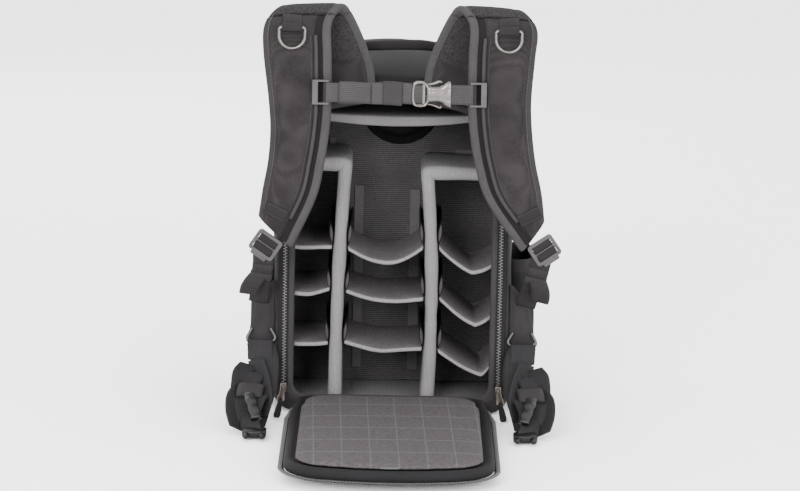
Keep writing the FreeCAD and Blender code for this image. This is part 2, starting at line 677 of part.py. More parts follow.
def build_sternum():
    mid = HARNESS_SHIFT
    half_web = WEBBING / 2
    bar = 2.4
    reach = 17.0
    tall = half_web + 3.0
    y = (CHEST_Y - 1.6, CHEST_Y + 1.6)
    clip = box((-RAIL_X - 3.4, -RAIL_X + 3.4), (CHEST_Y - 1.6, STRAP_FACE - 0.3),
               (CHEST_Z - tall, CHEST_Z + tall))
    groove = Part.makeCylinder(RAIL_RADIUS + 0.3, 2 * tall + 2,
                               V(-RAIL_X, STRAP_FACE - RAIL_RADIUS - 0.3, CHEST_Z - tall - 1),
                               V(0, 0, 1))
    mouth = box((-RAIL_X - 1.4, -RAIL_X + 1.4), (STRAP_FACE - 2.0, STRAP_FACE),
                (CHEST_Z - tall - 1, CHEST_Z + tall + 1))
    clip = clip.cut(groove).cut(mouth)
    arms = [box((-RAIL_X + 3.0, -RAIL_X + reach), y, (z, z + bar))
            for z in (CHEST_Z - tall, CHEST_Z + tall - bar)]
    pin = Part.makeCylinder(1.5, 2 * tall - 1, V(-RAIL_X + reach - 1.7, CHEST_Y, CHEST_Z - tall + 0.5),
                            V(0, 0, 1))
    slider = clip.multiFuse(arms + [pin]).removeSplitter()
    for side in ("left", "right"):
        moved = pair(slider)[side]
        moved.translate(V(mid, 0, 0))
        save("sternum_slider_" + side, moved)

    def strip(x0, x1, y_mid, tall=half_web, thick=WEBBING_THICK):
        return box((x0 + mid, x1 + mid), (y_mid - thick / 2, y_mid + thick / 2),
                   (CHEST_Z - tall, CHEST_Z + tall))

    eye = -RAIL_X + reach + 0.2
    plug_left = 16.5
    socket_right = 64.5
    front = CHEST_Y - 1.5 - 0.2 - WEBBING_THICK / 2
    layers = [strip(eye, plug_left - 0.3, front)]
    step = WEBBING_THICK + 1.0
    layers += [strip(eye + 14, eye + 46, front - step), strip(eye + 48, plug_left - 2, front - step)]
    save("sternum_webbing_left", *layers)
    save("sternum_webbing_right", strip(socket_right + 0.3, RAIL_X - reach - 0.2, front))
    build_buckle(plug_left + mid, socket_right + mid, front)


def build_buckle(left, right, y):
    """A side-release buckle: a plug with two springy arms and the socket they click into."""
    z = CHEST_Z
    thick = 9.0
    faces = (y - thick / 2, y + thick / 2)
    end_half = WEBBING / 2 + 4.5
    web_slot = WEBBING / 2 + 0.7
    slot_deep = (y - thick, y + thick)
    barrel = (left + 20, right - 12)
    barrel_half = 10.5
    core = soft_box(barrel, faces, (z - barrel_half, z + barrel_half), 2.5)
    tail = soft_box((right - 13, right), (y - 3.5, y + 3.5), (z - end_half, z + end_half), 2.5)
    slot = box((right - 9.5, right - 3.5), slot_deep, (z - web_slot, z + web_slot))
    save("buckle_socket", core.fuse(tail).cut(slot).removeSplitter())
    frame = soft_box((left, left + 19.6), (y - 3.5, y + 3.5), (z - end_half, z + end_half), 3.0)
    hole = box((left + 3.5, left + 9.5), slot_deep, (z - web_slot, z + web_slot))
    save("buckle_plug", frame.cut(hole))
    arm_low = barrel_half + 0.5
    for name, sign in (("upper", 1), ("lower", -1)):
        outline = [(left + 19.9, z + sign * (arm_low + 2.6)), (left + 28, z + sign * (arm_low + 1.4)),
                   (right - 13.6, z + sign * (arm_low + 2.4)), (right - 13.6, z + sign * (arm_low + 5)),
                   (left + 27, z + sign * (arm_low + 4.2)), (left + 19.9, z + sign * (arm_low + 6))]
        arm = plate(outline, 0.8, on_xz(y - 2.4), V(0, 4.8, 0))
        save("buckle_prong_" + name, arm)


# --- waist belt ----------------------------------------------------------------------------
BELT_PIN = V(-HALF - 17.0, WING_Y - 8.0, 94.0)
BELT_THICK = 6.0


def build_belt():
    seat = WING_Y - RING_WIRE - 0.3
    ring = tube([(BELT_PIN.x + 12, seat, BELT_PIN.z + 15), (BELT_PIN.x + 21.5, BELT_PIN.y, BELT_PIN.z),
                 (BELT_PIN.x - 21.5, BELT_PIN.y, BELT_PIN.z - 3),
                 (BELT_PIN.x - 12, seat, BELT_PIN.z + 15)], RING_WIRE)
    save("belt_rings", *pair(ring).values())
    # The webbing falls forward from its ring to the floor, its end folded up in a keeper.
    fall = [(0, -3, -6, (0, -1, 0.2)), (-3, -28, -36, (0, -1, 0.7)), (-8, -72, -68, (0, -0.6, 1)),
            (-10, -116, -84, (0, -0.1, 1))]
    stations = []
    for dx, dy, dz, facing in fall:
        x, y, z = BELT_PIN.x + dx, BELT_PIN.y + dy, BELT_PIN.z + dz
        half = BELT_WEBBING / 2
        stations.append(((x + half, y, z), (x - half, y, z - 2), facing))
    webbing = band(stations, BELT_THICK)
    x, y = BELT_PIN.x - 10, BELT_PIN.y - 118
    buckle = soft_box((x - 22, x + 22), (y - 30, y), (1.0, 13.0), 3.0)
    for side in ("left", "right"):
        save("belt_webbing_" + side, pair(webbing)[side])
        save("belt_buckle_" + side, pair(buckle)[side])


build_walls()
build_body_zip()
build_lining()
build_dividers()
build_shelves()
build_pockets()
build_wings()
build_handle()
build_panel()
build_sliders()
build_straps()
build_adjusters()
build_sternum()
build_belt()
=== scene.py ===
import math

import bmesh
import bpy
from mathutils import Matrix, Vector, noise


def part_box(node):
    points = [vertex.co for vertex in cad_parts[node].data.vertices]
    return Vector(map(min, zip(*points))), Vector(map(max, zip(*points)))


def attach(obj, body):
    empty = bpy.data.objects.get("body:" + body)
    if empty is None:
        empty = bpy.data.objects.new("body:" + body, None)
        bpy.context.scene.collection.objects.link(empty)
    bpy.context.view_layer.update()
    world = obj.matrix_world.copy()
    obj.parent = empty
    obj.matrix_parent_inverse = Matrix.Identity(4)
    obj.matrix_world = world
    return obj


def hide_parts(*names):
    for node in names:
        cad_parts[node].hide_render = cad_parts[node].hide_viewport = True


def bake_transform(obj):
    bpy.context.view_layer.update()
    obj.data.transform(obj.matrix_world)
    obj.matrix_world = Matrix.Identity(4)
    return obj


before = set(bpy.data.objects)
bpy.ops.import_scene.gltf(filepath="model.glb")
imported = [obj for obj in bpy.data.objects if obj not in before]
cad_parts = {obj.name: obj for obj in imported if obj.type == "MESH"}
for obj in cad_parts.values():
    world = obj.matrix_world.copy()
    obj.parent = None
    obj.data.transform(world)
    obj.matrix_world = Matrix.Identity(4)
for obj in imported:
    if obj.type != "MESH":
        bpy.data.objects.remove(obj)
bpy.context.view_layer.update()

# Camera, light and floor: a long lens a little above the bag, a pale sweep and soft light from both
# sides and above. The bag leans a touch to the right, as it was set down.
mm = 0.001
aim = Vector((0, -95 * mm, 230 * mm))
tilt = math.radians(11.0)
stand_off = 4.6
lens = bpy.data.cameras.new("camera")
lens.lens = 162.5
lens.sensor_width = 36
lens.clip_end = 50
lens.shift_x = 6.5 / 800
lens.shift_y = -7.5 / 800
camera = bpy.data.objects.new("camera", lens)
bpy.context.collection.objects.link(camera)
camera.location = aim + stand_off * Vector((0, -math.cos(tilt), math.sin(tilt)))
look = Matrix.Rotation(math.pi / 2 - tilt, 3, "X") @ Matrix.Rotation(math.radians(1.1), 3, "Z")
camera.rotation_euler = look.to_euler()
bpy.context.scene.camera = camera

air = bpy.data.worlds.new("studio")
air.use_nodes = True
air.node_tree.nodes["Background"].inputs["Color"].default_value = (1, 1, 1, 1)
air.node_tree.nodes["Background"].inputs["Strength"].default_value = 3.4
bpy.context.scene.world = air
for label, place, size, power in (
    ("key", (-1.1, -3.4, 1.5), 1.3, 175),
    ("fill", (1.5, -3.2, 0.9), 1.6, 115),
    ("top", (0.2, -0.2, 2.8), 1.4, 6),
    ("rear", (-1.0, 2.4, 1.6), 1.6, 30),
):
    glow = bpy.data.lights.new(label, "AREA")
    glow.size = size
    glow.energy = power
    lamp = bpy.data.objects.new(label, glow)
    bpy.context.collection.objects.link(lamp)
    lamp.location = place
    lamp.rotation_euler = (Vector(place) - Vector((0, -0.1, 0.25))).to_track_quat("Z", "Y").to_euler()

ground = bmesh.new()
bmesh.ops.create_grid(ground, x_segments=1, y_segments=1, size=14)
sweep = bpy.data.meshes.new("floor")
ground.to_mesh(sweep)
ground.free()
paper = bpy.data.materials.new("paper")
paper.use_nodes = True
paper.node_tree.nodes["Principled BSDF"].inputs["Base Color"].default_value = (0.93, 0.93, 0.93, 1)
paper.node_tree.nodes["Principled BSDF"].inputs["Roughness"].default_value = 0.9
sweep.materials.append(paper)
floor = bpy.data.objects.new("floor", sweep)
bpy.context.collection.objects.link(floor)


# The bag's shell: foam walls in black woven nylon, lined with knit, with a bound rim round the
# opening at the back. One skin is rolled from the cavity's far wall, out over the rim and round.
class Field:
    """A value that changes over a surface; sums on it add nodes."""

    def __init__(self, finish, socket):
        self.finish = finish
        self.socket = socket

    def sum(self, operation, *others):
        return self.finish.node("ShaderNodeMath", (self, *others), operation=operation)

    def __add__(self, other):
        return self.sum("ADD", other)

    def __mul__(self, other):
        return self.sum("MULTIPLY", other)

    def __sub__(self, other):
        return self.sum("SUBTRACT", other)

    def __rsub__(self, other):
        return self.finish.node("ShaderNodeMath", (other, self), operation="SUBTRACT")

    __radd__ = __add__
    __rmul__ = __mul__

    def sine(self):
        return self.sum("SINE")


dye_depth = 0.25  # dyes are mixed this much deeper than they look under the bright sweep


def dye(red, green, blue):
    """A colour from 0 to 255 as it is seen, for a shader."""
    return tuple(dye_depth * (c / 255) ** 2.2 for c in (red, green, blue)) + (1.0,)


class Finish:
    """A material being mixed."""

    def __init__(self, name, colour, roughness=0.85, **plain):
        self.material = bpy.data.materials.new(name)
        self.material.use_nodes = True
        self.tree = self.material.node_tree
        self.shader = self.tree.nodes["Principled BSDF"]
        self.shader.inputs["Base Color"].default_value = dye(*colour)
        self.shader.inputs["Roughness"].default_value = roughness
        self.shader.inputs["Specular IOR Level"].default_value = 0.1 if roughness > 0.6 else 0.5
        for label, value in plain.items():
            self.shader.inputs[label.replace("_", " ").title().replace("Ior", "IOR")].default_value = value
        self.colour = colour

    def node(self, kind, values=(), output=0, **settings):
        """Adds a node; values are its inputs in order, or a dict by name."""
        made = self.tree.nodes.new(kind)
        for label, value in settings.items():
            setattr(made, label, value)
        pairs = values.items() if isinstance(values, dict) else enumerate(values)
        for key, value in pairs:
            if isinstance(value, Field):
                self.tree.links.new(value.socket, made.inputs[key])
            elif value is not None:
                made.inputs[key].default_value = value
        return Field(self, made.outputs[output])

    def feed(self, label, field):
        self.tree.links.new(field.socket, self.shader.inputs[label])
        return self

    def place(self, kind="Object"):
        return self.node("ShaderNodeTexCoord", output=kind)

    def axis(self, index, kind="Object"):
        return self.node("ShaderNodeSeparateXYZ", (self.place(kind),), output=index)

    def cloud(self, scale, detail=3.0, kind="Object"):
        values = {"Vector": self.place(kind), "Scale": scale, "Detail": detail}
        return self.node("ShaderNodeTexNoise", values)

    def mix(self, factor, first, second):
        """A colour between two, by a field. Either may be a field itself."""
        made = self.tree.nodes.new("ShaderNodeMix")
        made.data_type = "RGBA"
        for key, value in ((0, factor), (6, first), (7, second)):
            if isinstance(value, Field):
                self.tree.links.new(value.socket, made.inputs[key])
            else:
                made.inputs[key].default_value = value if key == 0 else dye(*value)
        return Field(self, made.outputs[2])

    def relief(self, height, depth, strength=0.5):
        values = {"Height": height, "Distance": depth, "Strength": strength}
        return self.feed("Normal", self.node("ShaderNodeBump", values))


def woven(name, colour, pitch, contrast, roughness=0.8, depth=0.25):
    """Cloth with its threads, a little unevenness of dye and worn patches."""
    cloth = Finish(name, colour, roughness)
    turn = 2 * math.pi / (pitch * mm)
    threads = (cloth.axis(0) * turn).sine() + (cloth.axis(1) * turn).sine() + (cloth.axis(2) * turn).sine()
    fleck = cloth.cloud(900.0, 2.0)
    worn = cloth.cloud(28.0, 4.0)
    shade = threads * 0.12 + fleck * 1.2 + worn * 0.9 - 0.55
    darker = tuple(c * (1 - contrast) for c in colour)
    lighter = tuple(min(255, c * (1 + contrast)) for c in colour)
    cloth.feed("Base Color", cloth.mix(shade.sum("MAXIMUM", 0.0).sum("MINIMUM", 1.0), darker, lighter))
    cloth.feed("Roughness", worn * 0.14 + (roughness - 0.07))
    cloth.relief(threads * 0.4 + fleck, depth * mm, 0.6)
    return cloth


def drape(across, along, place, capped=True, spread=(1.0, 1.0), paint=None):
    """A grid whose points are moved to place(u, v): rolled shut, its ends filled when capped."""
    shape = bmesh.new()
    map_layer = shape.loops.layers.uv.new("cloth")
    bmesh.ops.create_grid(shape, x_segments=across, y_segments=along, size=1)
    for face in shape.faces:
        middle = face.calc_center_median()
        for loop in face.loops:
            u, v = (loop.vert.co.x + 1) / 2, (loop.vert.co.y + 1) / 2
            loop[map_layer].uv = (u * spread[0], v * spread[1])
        if paint:
            face.material_index = paint((middle.x + 1) / 2, (middle.y + 1) / 2)
    for vert in shape.verts:
        vert.co = place((vert.co.x + 1) / 2, (vert.co.y + 1) / 2)
    bmesh.ops.remove_doubles(shape, verts=shape.verts, dist=1e-6)
    if capped:
        open_edges = [e for e in shape.edges if e.is_boundary]
        bmesh.ops.holes_fill(shape, edges=open_edges, sides=0)
    bmesh.ops.recalc_face_normals(shape, faces=shape.faces)
    return shape


def make(name, shape, finishes, body, stands_for=(), smooth=True):
    """Turns a worked shape into a finished piece that rides on its body."""
    mesh = bpy.data.meshes.new(name)
    shape.to_mesh(mesh)
    shape.free()
    for finish in finishes:
        mesh.materials.append(finish.material)
    for face in mesh.polygons:
        face.use_smooth = smooth
    thing = bpy.data.objects.new(name, mesh)
    bpy.context.collection.objects.link(thing)
    if body:
        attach(thing, body)
    if stands_for:
        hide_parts(*stands_for)
    return thing


def soften(thing):
    """Smooths a coarse form by one level of subdivision."""
    smoother = thing.modifiers.new("soften", "SUBSURF")
    smoother.levels = 1
    smoother.render_levels = 1
    return thing


def door(t, half, low, top, arch, corner, foot):
    """(x, z) on a door-shaped outline; t runs once round from the middle of its foot."""
    side = 1 if t < 0.5 else -1
    share = 2 * (t if t < 0.5 else 1 - t)
    centre = top - arch
    rise = centre + math.sqrt((arch - corner) ** 2 - (half - corner) ** 2)
    lean = math.atan2(half - corner, rise - centre)
    runs = (half - foot, foot * math.pi / 2, rise - low - foot, corner * (math.pi / 2 - lean), arch * lean)
    gone = share * sum(runs)
    if gone < runs[0]:
        return side * gone, low
    gone -= runs[0]
    if gone < runs[1]:
        a = gone / foot
        return side * (half - foot + foot * math.sin(a)), low + foot - foot * math.cos(a)
    gone -= runs[1]
    if gone < runs[2]:
        return side * half, low + foot + gone
    gone -= runs[2]
    if gone < runs[3]:
        a = gone / corner
        return side * (half - corner + corner * math.cos(a)), rise + corner * math.sin(a)
    a = lean - (gone - runs[3]) / arch
    return side * arch * math.sin(a), centre + arch * math.cos(a)


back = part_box("opening_rim")[0].y / mm
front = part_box("front_wall")[1].y / mm
crown_back, crown_front = 438.0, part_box("front_wall")[1].z / mm
opening = {"half": 125.0, "low": 24.0, "top": 404.0, "arch": 330.0, "corner": 55.0, "foot": 12.0}


def crown(y):
    """The height of the sloping crown at a depth."""
    return crown_back + (y - back) * (crown_front - crown_back) / (front - back)


def hoop(y, half, drop, low=0.0, arch=700.0, corner=66.0, foot=18.0):
    return y, (half, low, crown(y) - drop, arch, corner, foot)


mouth = tuple(opening.values())
rim_out = (131.0, 18.0, 410.0, 336.0, 61.0, 16.0)
hoops = [hoop(82, 60, 160, 120, 300, 40, 20), hoop(82, 134, 16, 8, 600, 50, 6),
         hoop(30, 136, 16, 7.5, 600, 50, 6), hoop(-30, 136, 16, 7.5, 600, 50, 6),
         hoop(-80, 135, 16, 7.5, 600, 50, 6), hoop(-88, 133, 18, 8, 600, 50, 6), (-91, rim_out),
         (-91.5, (127.5, 21.5, 406.5, 332.0, 57.0, 13.0)), (-92.5, mouth), (-94.5, mouth),
         (-96.5, (126.5, 22.5, 405.5, 331.0, 56.5, 13.0)), (-96.8, (130.0, 19.0, 409.0, 335.0, 60.0, 16.0)),
         (-95.2, (133.0, 15.5, 412.0, 338.0, 63.0, 18.0)), (-94.8, (141.5, 8.5, 420.5, 346.0, 71.0, 24.0)),
         hoop(-94.5, 145.5, 6, 3.5, 560, 74, 26), hoop(-92, 149, 2, 0.6, 600, 70, 24),
         hoop(-84, 151, 0.5, 0, 640, 68, 22), hoop(-60, 153, -3), hoop(-20, 154.5, -5), hoop(25, 154.5, -5),
         hoop(62, 153, -3, 0, 620), hoop(84, 149.5, 0, 0.4, 560, 68, 20), hoop(91, 145, 4, 2, 540, 66, 22),
         hoop(95.5, 138, 11, 8, 520, 62, 26), hoop(97, 120, 40, 30, 480, 60, 30),
         hoop(98, 60, 150, 120, 300, 50, 30)]
LINED, RIM = 5, 12  # hoops inside the cavity, and up to the rim's outer edge
hoop_count = len(hoops) - 1


def rumple(p, size, depth, seed=0.0):
    """How far cloth stands off at a point: low folds, the same each time."""
    q = p / size + Vector((seed, seed * 0.7, seed * 1.3))
    return depth * noise.noise(q)


def shell_point(u, v):
    """A point of the shell's skin: u round a hoop, v from the lining outwards."""
    y, outline = hoops[round(v * hoop_count)]
    x, z = door(u, *outline)
    p = Vector((x, y, z)) * mm
    if v * hoop_count > RIM + 2:
        lift = rumple(p, 0.055, 2.4 * mm) + rumple(p, 0.02, 0.7 * mm, 3)
        p += Vector((x, 0, z - 200)).normalized() * lift * (0.2 if p.z < 0.03 else 1)
    elif v * hoop_count < LINED + 0.5:
        p += Vector((x, 0, 0)).normalized() * rumple(p, 0.04, 1.6 * mm, 7)
    return p


def shell_paint(u, v):
    """Which cloth the skin is cut from; the crown's top takes a darker cloth as painted shade."""
    ring = v * hoop_count
    # The top of the outer skin, at the crown, gets the darker cloth: painted shade.
    if ring > RIM + 2 and abs(u - 0.5) < 0.135:
        return 3
    return 2 if ring < LINED else 1 if ring < RIM else 0


shell_cloth = woven("shell_nylon", (66, 63, 65), pitch=1.1, contrast=0.2)
binding_cloth = woven("rim_binding", (78, 75, 76), pitch=0.8, contrast=0.12)
# The crown's darker nylon is painted shade on the top of the bag.
crown_painted_shade_cloth = woven("crown_painted_shade_nylon", (38, 37, 39), pitch=1.1, contrast=0.2)
lining_cloth = woven("knit_lining", (76, 73, 75), pitch=1.6, contrast=0.1, roughness=0.9)
body_shape = drape(132, hoop_count, shell_point, spread=(1.3, 0.7), paint=shell_paint)
body = make("bag_shell", body_shape, (shell_cloth, binding_cloth, lining_cloth, crown_painted_shade_cloth), "pack",
            ("side_wall_left", "side_wall_right", "base_wall", "top_wall", "front_wall",
                             "opening_rim"))
soften(body)


# The body's zip: a tape sewn round the opening and a coil of moulded teeth on it. The coil is
# built tooth by tooth along the same door-shaped line as the CAD's.
def oval(half, thick, around, power=4.0):
    """A closed section, half wide each way across and thick/2 each way out."""
    points = []
    for i in range(around):
        a = 2 * math.pi * i / around
        c, s = math.cos(a), math.sin(a)
        points.append((math.copysign(abs(c) ** (2 / power) * half, c),
                       math.copysign(abs(s) ** (2 / power) * thick / 2, s)))
    return points


def sweep(section, along, path, shut=False, paint=None, spread=(1.0, 1.0), wrinkle=None):
    """A section carried along path(v), which gives its centre and its two directions."""
    around = len(section)

    def place(u, v):
        centre, across, out = path(v)
        a, b = section[round(u * around) % around]
        p = centre + across * a + out * b
        if wrinkle:
            p += (p - centre).normalized() * rumple(p, wrinkle[0], wrinkle[1], len(section))
        return p

    return drape(around, along, place, capped=not shut, paint=paint, spread=spread)


def bar(shape, centre, along, across, up):
    """Adds a small block with these half-lengths from its centre."""
    turn = Matrix((along, across, up)).transposed().to_4x4()
    turn.translation = centre
    bmesh.ops.create_cube(shape, size=2, matrix=turn)


def zip_line(grow, y):
    """The line of the opening's zip, foot to foot over the top: where it is and which way it runs."""
    start = 0.118
    outline = (opening["half"] + grow, opening["low"], opening["top"] + grow, opening["arch"] + grow,
               opening["corner"] + grow, 1.0)

    def at(v):
        t = start + (1 - 2 * start) * v
        x, z = door(t, *outline)
        x_next, z_next = door(t + 0.001, *outline)
        way = Vector((x_next - x, 0, z_next - z)).normalized()
        return Vector((x, y, z)) * mm, way

    return at


def teeth(line, count, half, out, thick):
    """Moulded teeth set along a line, in two rows that meet in the middle."""
    shape = bmesh.new()
    for i in range(count):
        centre, way = line((i + 0.5) / count)
        across = way.cross(out).normalized()
        side = 1 if i % 2 else -1
        bar(shape, centre + across * (side * half * 0.36), way * (thick * 0.5), across * (half * 0.64),
            out * (thick * 0.8))
    return shape


tape_cloth = woven("zip_tape", (50, 48, 50), pitch=0.7, contrast=0.1, depth=0.15)
coil_moulding = Finish("zip_teeth", (140, 138, 139), 0.45)
coil_moulding.feed("Roughness", coil_moulding.cloud(400.0) * 0.3 + 0.3)
coil_line = zip_line(12.5, -96.4)
tape_line = zip_line(12.5, -95.4)


def flat_on(line, out):
    """A path for a band lying on a face along a line."""
    def path(v):
        centre, way = line(v)
        return centre, way.cross(out).normalized() * mm, out * mm
    return path


toward = Vector((0, -1, 0))
make("body_zip_tape", sweep(oval(8, 1.0, 8), 90, flat_on(tape_line, toward)), (tape_cloth,), "pack")
make("body_zip_coil", teeth(coil_line, 500, 2.6 * mm, toward, 0.85 * mm), (coil_moulding,), "pack",
     ("body_zip",), smooth=False)


# Inside: a grey knit floor, the dark ribbed sleeve for a flat device against the far wall with its
# bound scoop, and the padded roll under the crown. All are soft and a little uneven.
def inset(outline, d):
    """A door outline taken in by a distance."""
    half, low, top, arch, corner, foot = outline
    return half - d, low + d, top - d, arch - d, max(corner - d, 2.0), max(foot - d, 2.0)


def pillow(outline, near, far, edge, under, over):
    """Levels of a padded plate from near to far, with rounded edges and faces that swell."""
    reach = min(outline[0], (outline[2] - outline[1]) / 2)
    levels = []
    for share in (0.75, 0.5, 0.28, 0.12, 0.04):
        levels.append((share, 1 - (1 - share) ** 3))
    caps = [(edge + (reach - edge) * s * 0.95, swell) for s, swell in levels]
    rim = [(edge, 0.0), (edge * 0.3, 0.3), (0.0, 1.0)]
    first = [(near - under * swell, inset(outline, d)) for d, swell in caps]
    first += [(near + edge * rise, inset(outline, d)) for d, rise in rim]
    last = [(far - edge * rise, inset(outline, d)) for d, rise in rim[::-1]]
    last += [(far + over * swell, inset(outline, d)) for d, swell in caps[::-1]]
    return first + last


def stack(levels, around, place, paint=None, wrinkle=None):
    """A closed form through door-shaped levels, each put where place(x, z, depth) says."""
    top = len(levels) - 1

    def at(u, v):
        depth, outline = levels[round(v * top)]
        x, z = door(u, *outline)
        p = place(x, z, depth)
        if wrinkle:
            p += Vector((0, 0, 1)) * rumple(p, wrinkle[0], wrinkle[1], top)
        return p

    return drape(around, top, at, paint=paint)


def knit(name, colour, ribs=0, pitch=1.7, dark=0.8):
    """Brushed knit with fine ribs across one axis."""
    cloth = Finish(name, colour, 0.95)
    rows = (cloth.axis(ribs) * (2 * math.pi / (pitch * mm))).sine()
    fuzz = cloth.cloud(700.0, 4.0)
    drift = cloth.cloud(22.0, 3.0)
    shade = rows * 0.22 + fuzz * 0.9 + drift * 0.44 - 0.62
    low = tuple(c * dark for c in colour)
    high = tuple(min(255, c * (2 - dark)) for c in colour)
    cloth.feed("Base Color", cloth.mix(shade.sum("MAXIMUM", 0.0).sum("MINIMUM", 1.0), low, high))
    cloth.feed("Roughness", fuzz * 0.15 + 0.82)
    cloth.relief(rows * 0.5 + fuzz, 0.35 * mm, 0.6)
    return cloth


tricot = knit("grey_tricot", (200, 197, 197))
roll_knit = knit("roll_knit", (176, 173, 173), ribs=0, pitch=1.3)
sleeve_knit = knit("sleeve_knit", (138, 134, 136), ribs=2, pitch=2.6, dark=0.7)
black_tape = woven("black_tape", (26, 25, 26), pitch=0.8, contrast=0.2, depth=0.15)

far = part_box("device_sleeve")[0].y / mm
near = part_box("divider_left")[0].y / mm
floor_pad = make("floor_pad", stack(pillow((133, near - 2, far - 1, 3000, 6, 6), 7.2, 10.4, 1.4, 0, 1.6), 64,
                                    lambda x, z, d: Vector((x, z, d)) * mm, wrinkle=(0.03, 0.8 * mm)),
                 (tricot,), "pack")


def sleeve_path(v):
    x = -136 + 272 * v
    off = x - 6
    top = 372.0 if abs(off) > 42 else min(372.0, 380 - math.sqrt(44.0 ** 2 - off ** 2))
    y = 55 + 1.6 * math.sin(x / 13) * math.exp(-((x - 6) / 70) ** 2)
    return Vector((x, y, (6.5 + top) / 2)) * mm, Vector((0, 0, (top - 6.5) / 2)) * mm, Vector((0, 1, 0)) * mm


sleeve = make("device_sleeve_cloth", sweep(oval(1.0, 3.4, 40, 10), 90, sleeve_path), (sleeve_knit,), "pack",
              ("device_sleeve",))


def scoop_path(v):
    a = math.radians(-168 + 156 * v)
    way = Vector((math.cos(a), 0, math.sin(a)))
    return Vector((6, 52.0, 380)) * mm + way * (48.0 * mm), way * mm, toward * mm


make("scoop_binding", sweep(oval(5.2, 2.0, 12), 40, scoop_path), (black_tape,), "pack")
strips = bmesh.new()
for x, tall, deep, high in ((-46, 122, 6, 149), (27.5, 121, 6.6, 146)):
    bar(strips, Vector((x, 51.6, high)) * mm, Vector((deep, 0, 0)) * mm, Vector((0, 0.5, 0)) * mm,
        Vector((0, 0, tall)) * mm)
bar(strips, Vector((99, 51.6, 303)) * mm, Vector((20, 0, 0)) * mm, Vector((0, 0.6, 0)) * mm,
    Vector((0, 0, 18)) * mm)
bar(strips, Vector((-82, 51.6, 322)) * mm, Vector((4, 0, 0)) * mm, Vector((0, 0.8, 0)) * mm,
    Vector((0, 0, 12)) * mm)
bmesh.ops.bevel(strips, geom=strips.edges[:], offset=0.4 * mm, segments=1, affect="EDGES", profile=0.5,
                material=-1)
strip_cloth = knit("loop_strip", (160, 156, 157), ribs=0, pitch=1.0)
make("loop_strips", strips, (strip_cloth,), "pack", smooth=False)


def roll_path(v):
    x = -107 + 214 * v
    share = 1 - (x / 108) ** 2
    top, under = 391 - 4 * share, 380 - 9 * share
    round_end = math.sqrt(max(0.0, 1 - max(0.0, (abs(x) - 100) / 8) ** 2)) * 0.7 + 0.3
    tall = (top - under) / 2 * (round_end if abs(x) > 100 else 1)
    return Vector((x, -19, (top + under) / 2)) * mm, Vector((0, 1, 0)) * mm, Vector((0, 0, tall)) * mm


roll = make("ceiling_roll", sweep(oval(69, 2, 36, 7), 44, roll_path, wrinkle=(0.03, 0.9 * mm)),
            (roll_knit,), "pack", ("ceiling_pad",))
soften(roll)


# The two upright dividers: foam wrapped in pale brushed tricot, each turning over at the top to an
# arm that meets the wall, with a mitred crease at the corner. Swept along their own middle lines.
divider_lines = {
    "left": (-0.449 * 138, -0.507 * 138, -0.522 * 138, 330.0, 1),
    "right": (0.297 * 138, 0.362 * 138, 0.333 * 138, 321.0, -1),
}
divider_thick = 17.0


def divider_x(side, z):
    """Where a divider's middle stands across the bag, at a height."""
    top_x, mid_x, low_x, top = divider_lines[side][:4]
    t = (z - 6) / (top - 6)
    return low_x * (1 - t) * (1 - 2 * t) + mid_x * 4 * t * (1 - t) + top_x * t * (2 * t - 1)


def divider_frames(side):
    """(centre, sideways direction, depth direction) along a divider: up, over the corner, to the wall."""
    top, turn = divider_lines[side][3:]
    corner_z = top - divider_thick / 2
    frames = []
    for i in range(26):
        z = 9 + (corner_z - 5 - 9) * i / 25
        depth, middle, reach = (0.2, 127, 7) if side == "right" else (0.08, 150, 14)
        pinch = depth * math.exp(-((z - middle) / reach) ** 2)
        swell = 0.04 * math.sin(z / 23) + 0.03 * math.sin(z / 9.7)
        flare = 0.12 * math.exp(-z / 26)
        frames.append((Vector((divider_x(side, z), 0, z)),
                       Vector((turn, 0, 0)) * (1 - pinch + swell + flare)))
    corner = Vector((divider_x(side, corner_z), 0, corner_z))
    frames.append((corner + Vector((turn * 0.1, 0, -2.2)), Vector((turn, 0, 0.25)) * 1.0))
    frames.append((corner - Vector((turn * 0.9, 0, 0.9)), Vector((turn, 0, 1)) * 0.88))
    frames.append((corner + Vector((-turn * 2.4, 0, 0.2)), Vector((turn * 0.25, 0, 1)) * 1.03))
    reach = -turn * 137.2 - corner.x
    for i in range(10):
        x = corner.x - turn * 6 + (reach + turn * 6) * i / 9
        drop = 1.2 * (i / 9) if side == "left" else 2.2 * (i / 9) ** 2
        dome = 1 + 0.16 * math.exp(-((i - 1.0) / 1.8) ** 2)
        frames.append((Vector((x, 0, corner_z - drop)), Vector((0, 0, 1)) * dome))
    return frames


front_arc = [(-math.sin(math.pi / 2 * k / 4) * 8.5,
              8.5 - 8.5 * math.cos(math.pi / 2 * k / 4)) for k in range(-4, 5)]
divider_section = [(8.3, 130), (8.3, 70), (8.5, 30)] + front_arc + [(-8.5, 30), (-8.3, 70), (-8.3, 130)]
for side in divider_lines:
    frames = divider_frames(side)

    def divider_path(v, frames=frames):
        centre, sideways = frames[round(v * (len(frames) - 1))]
        return (centre + Vector((0, near, 0))) * mm, sideways * mm, Vector((0, 1, 0)) * mm

    section = [(a, b * 1.065 if b > 100 else b) for a, b in divider_section]
    wall = make("divider_%s_foam" % side, sweep(section, len(frames) - 1, divider_path), (tricot,), "pack",
                ("divider_" + side,))
    soften(wall)


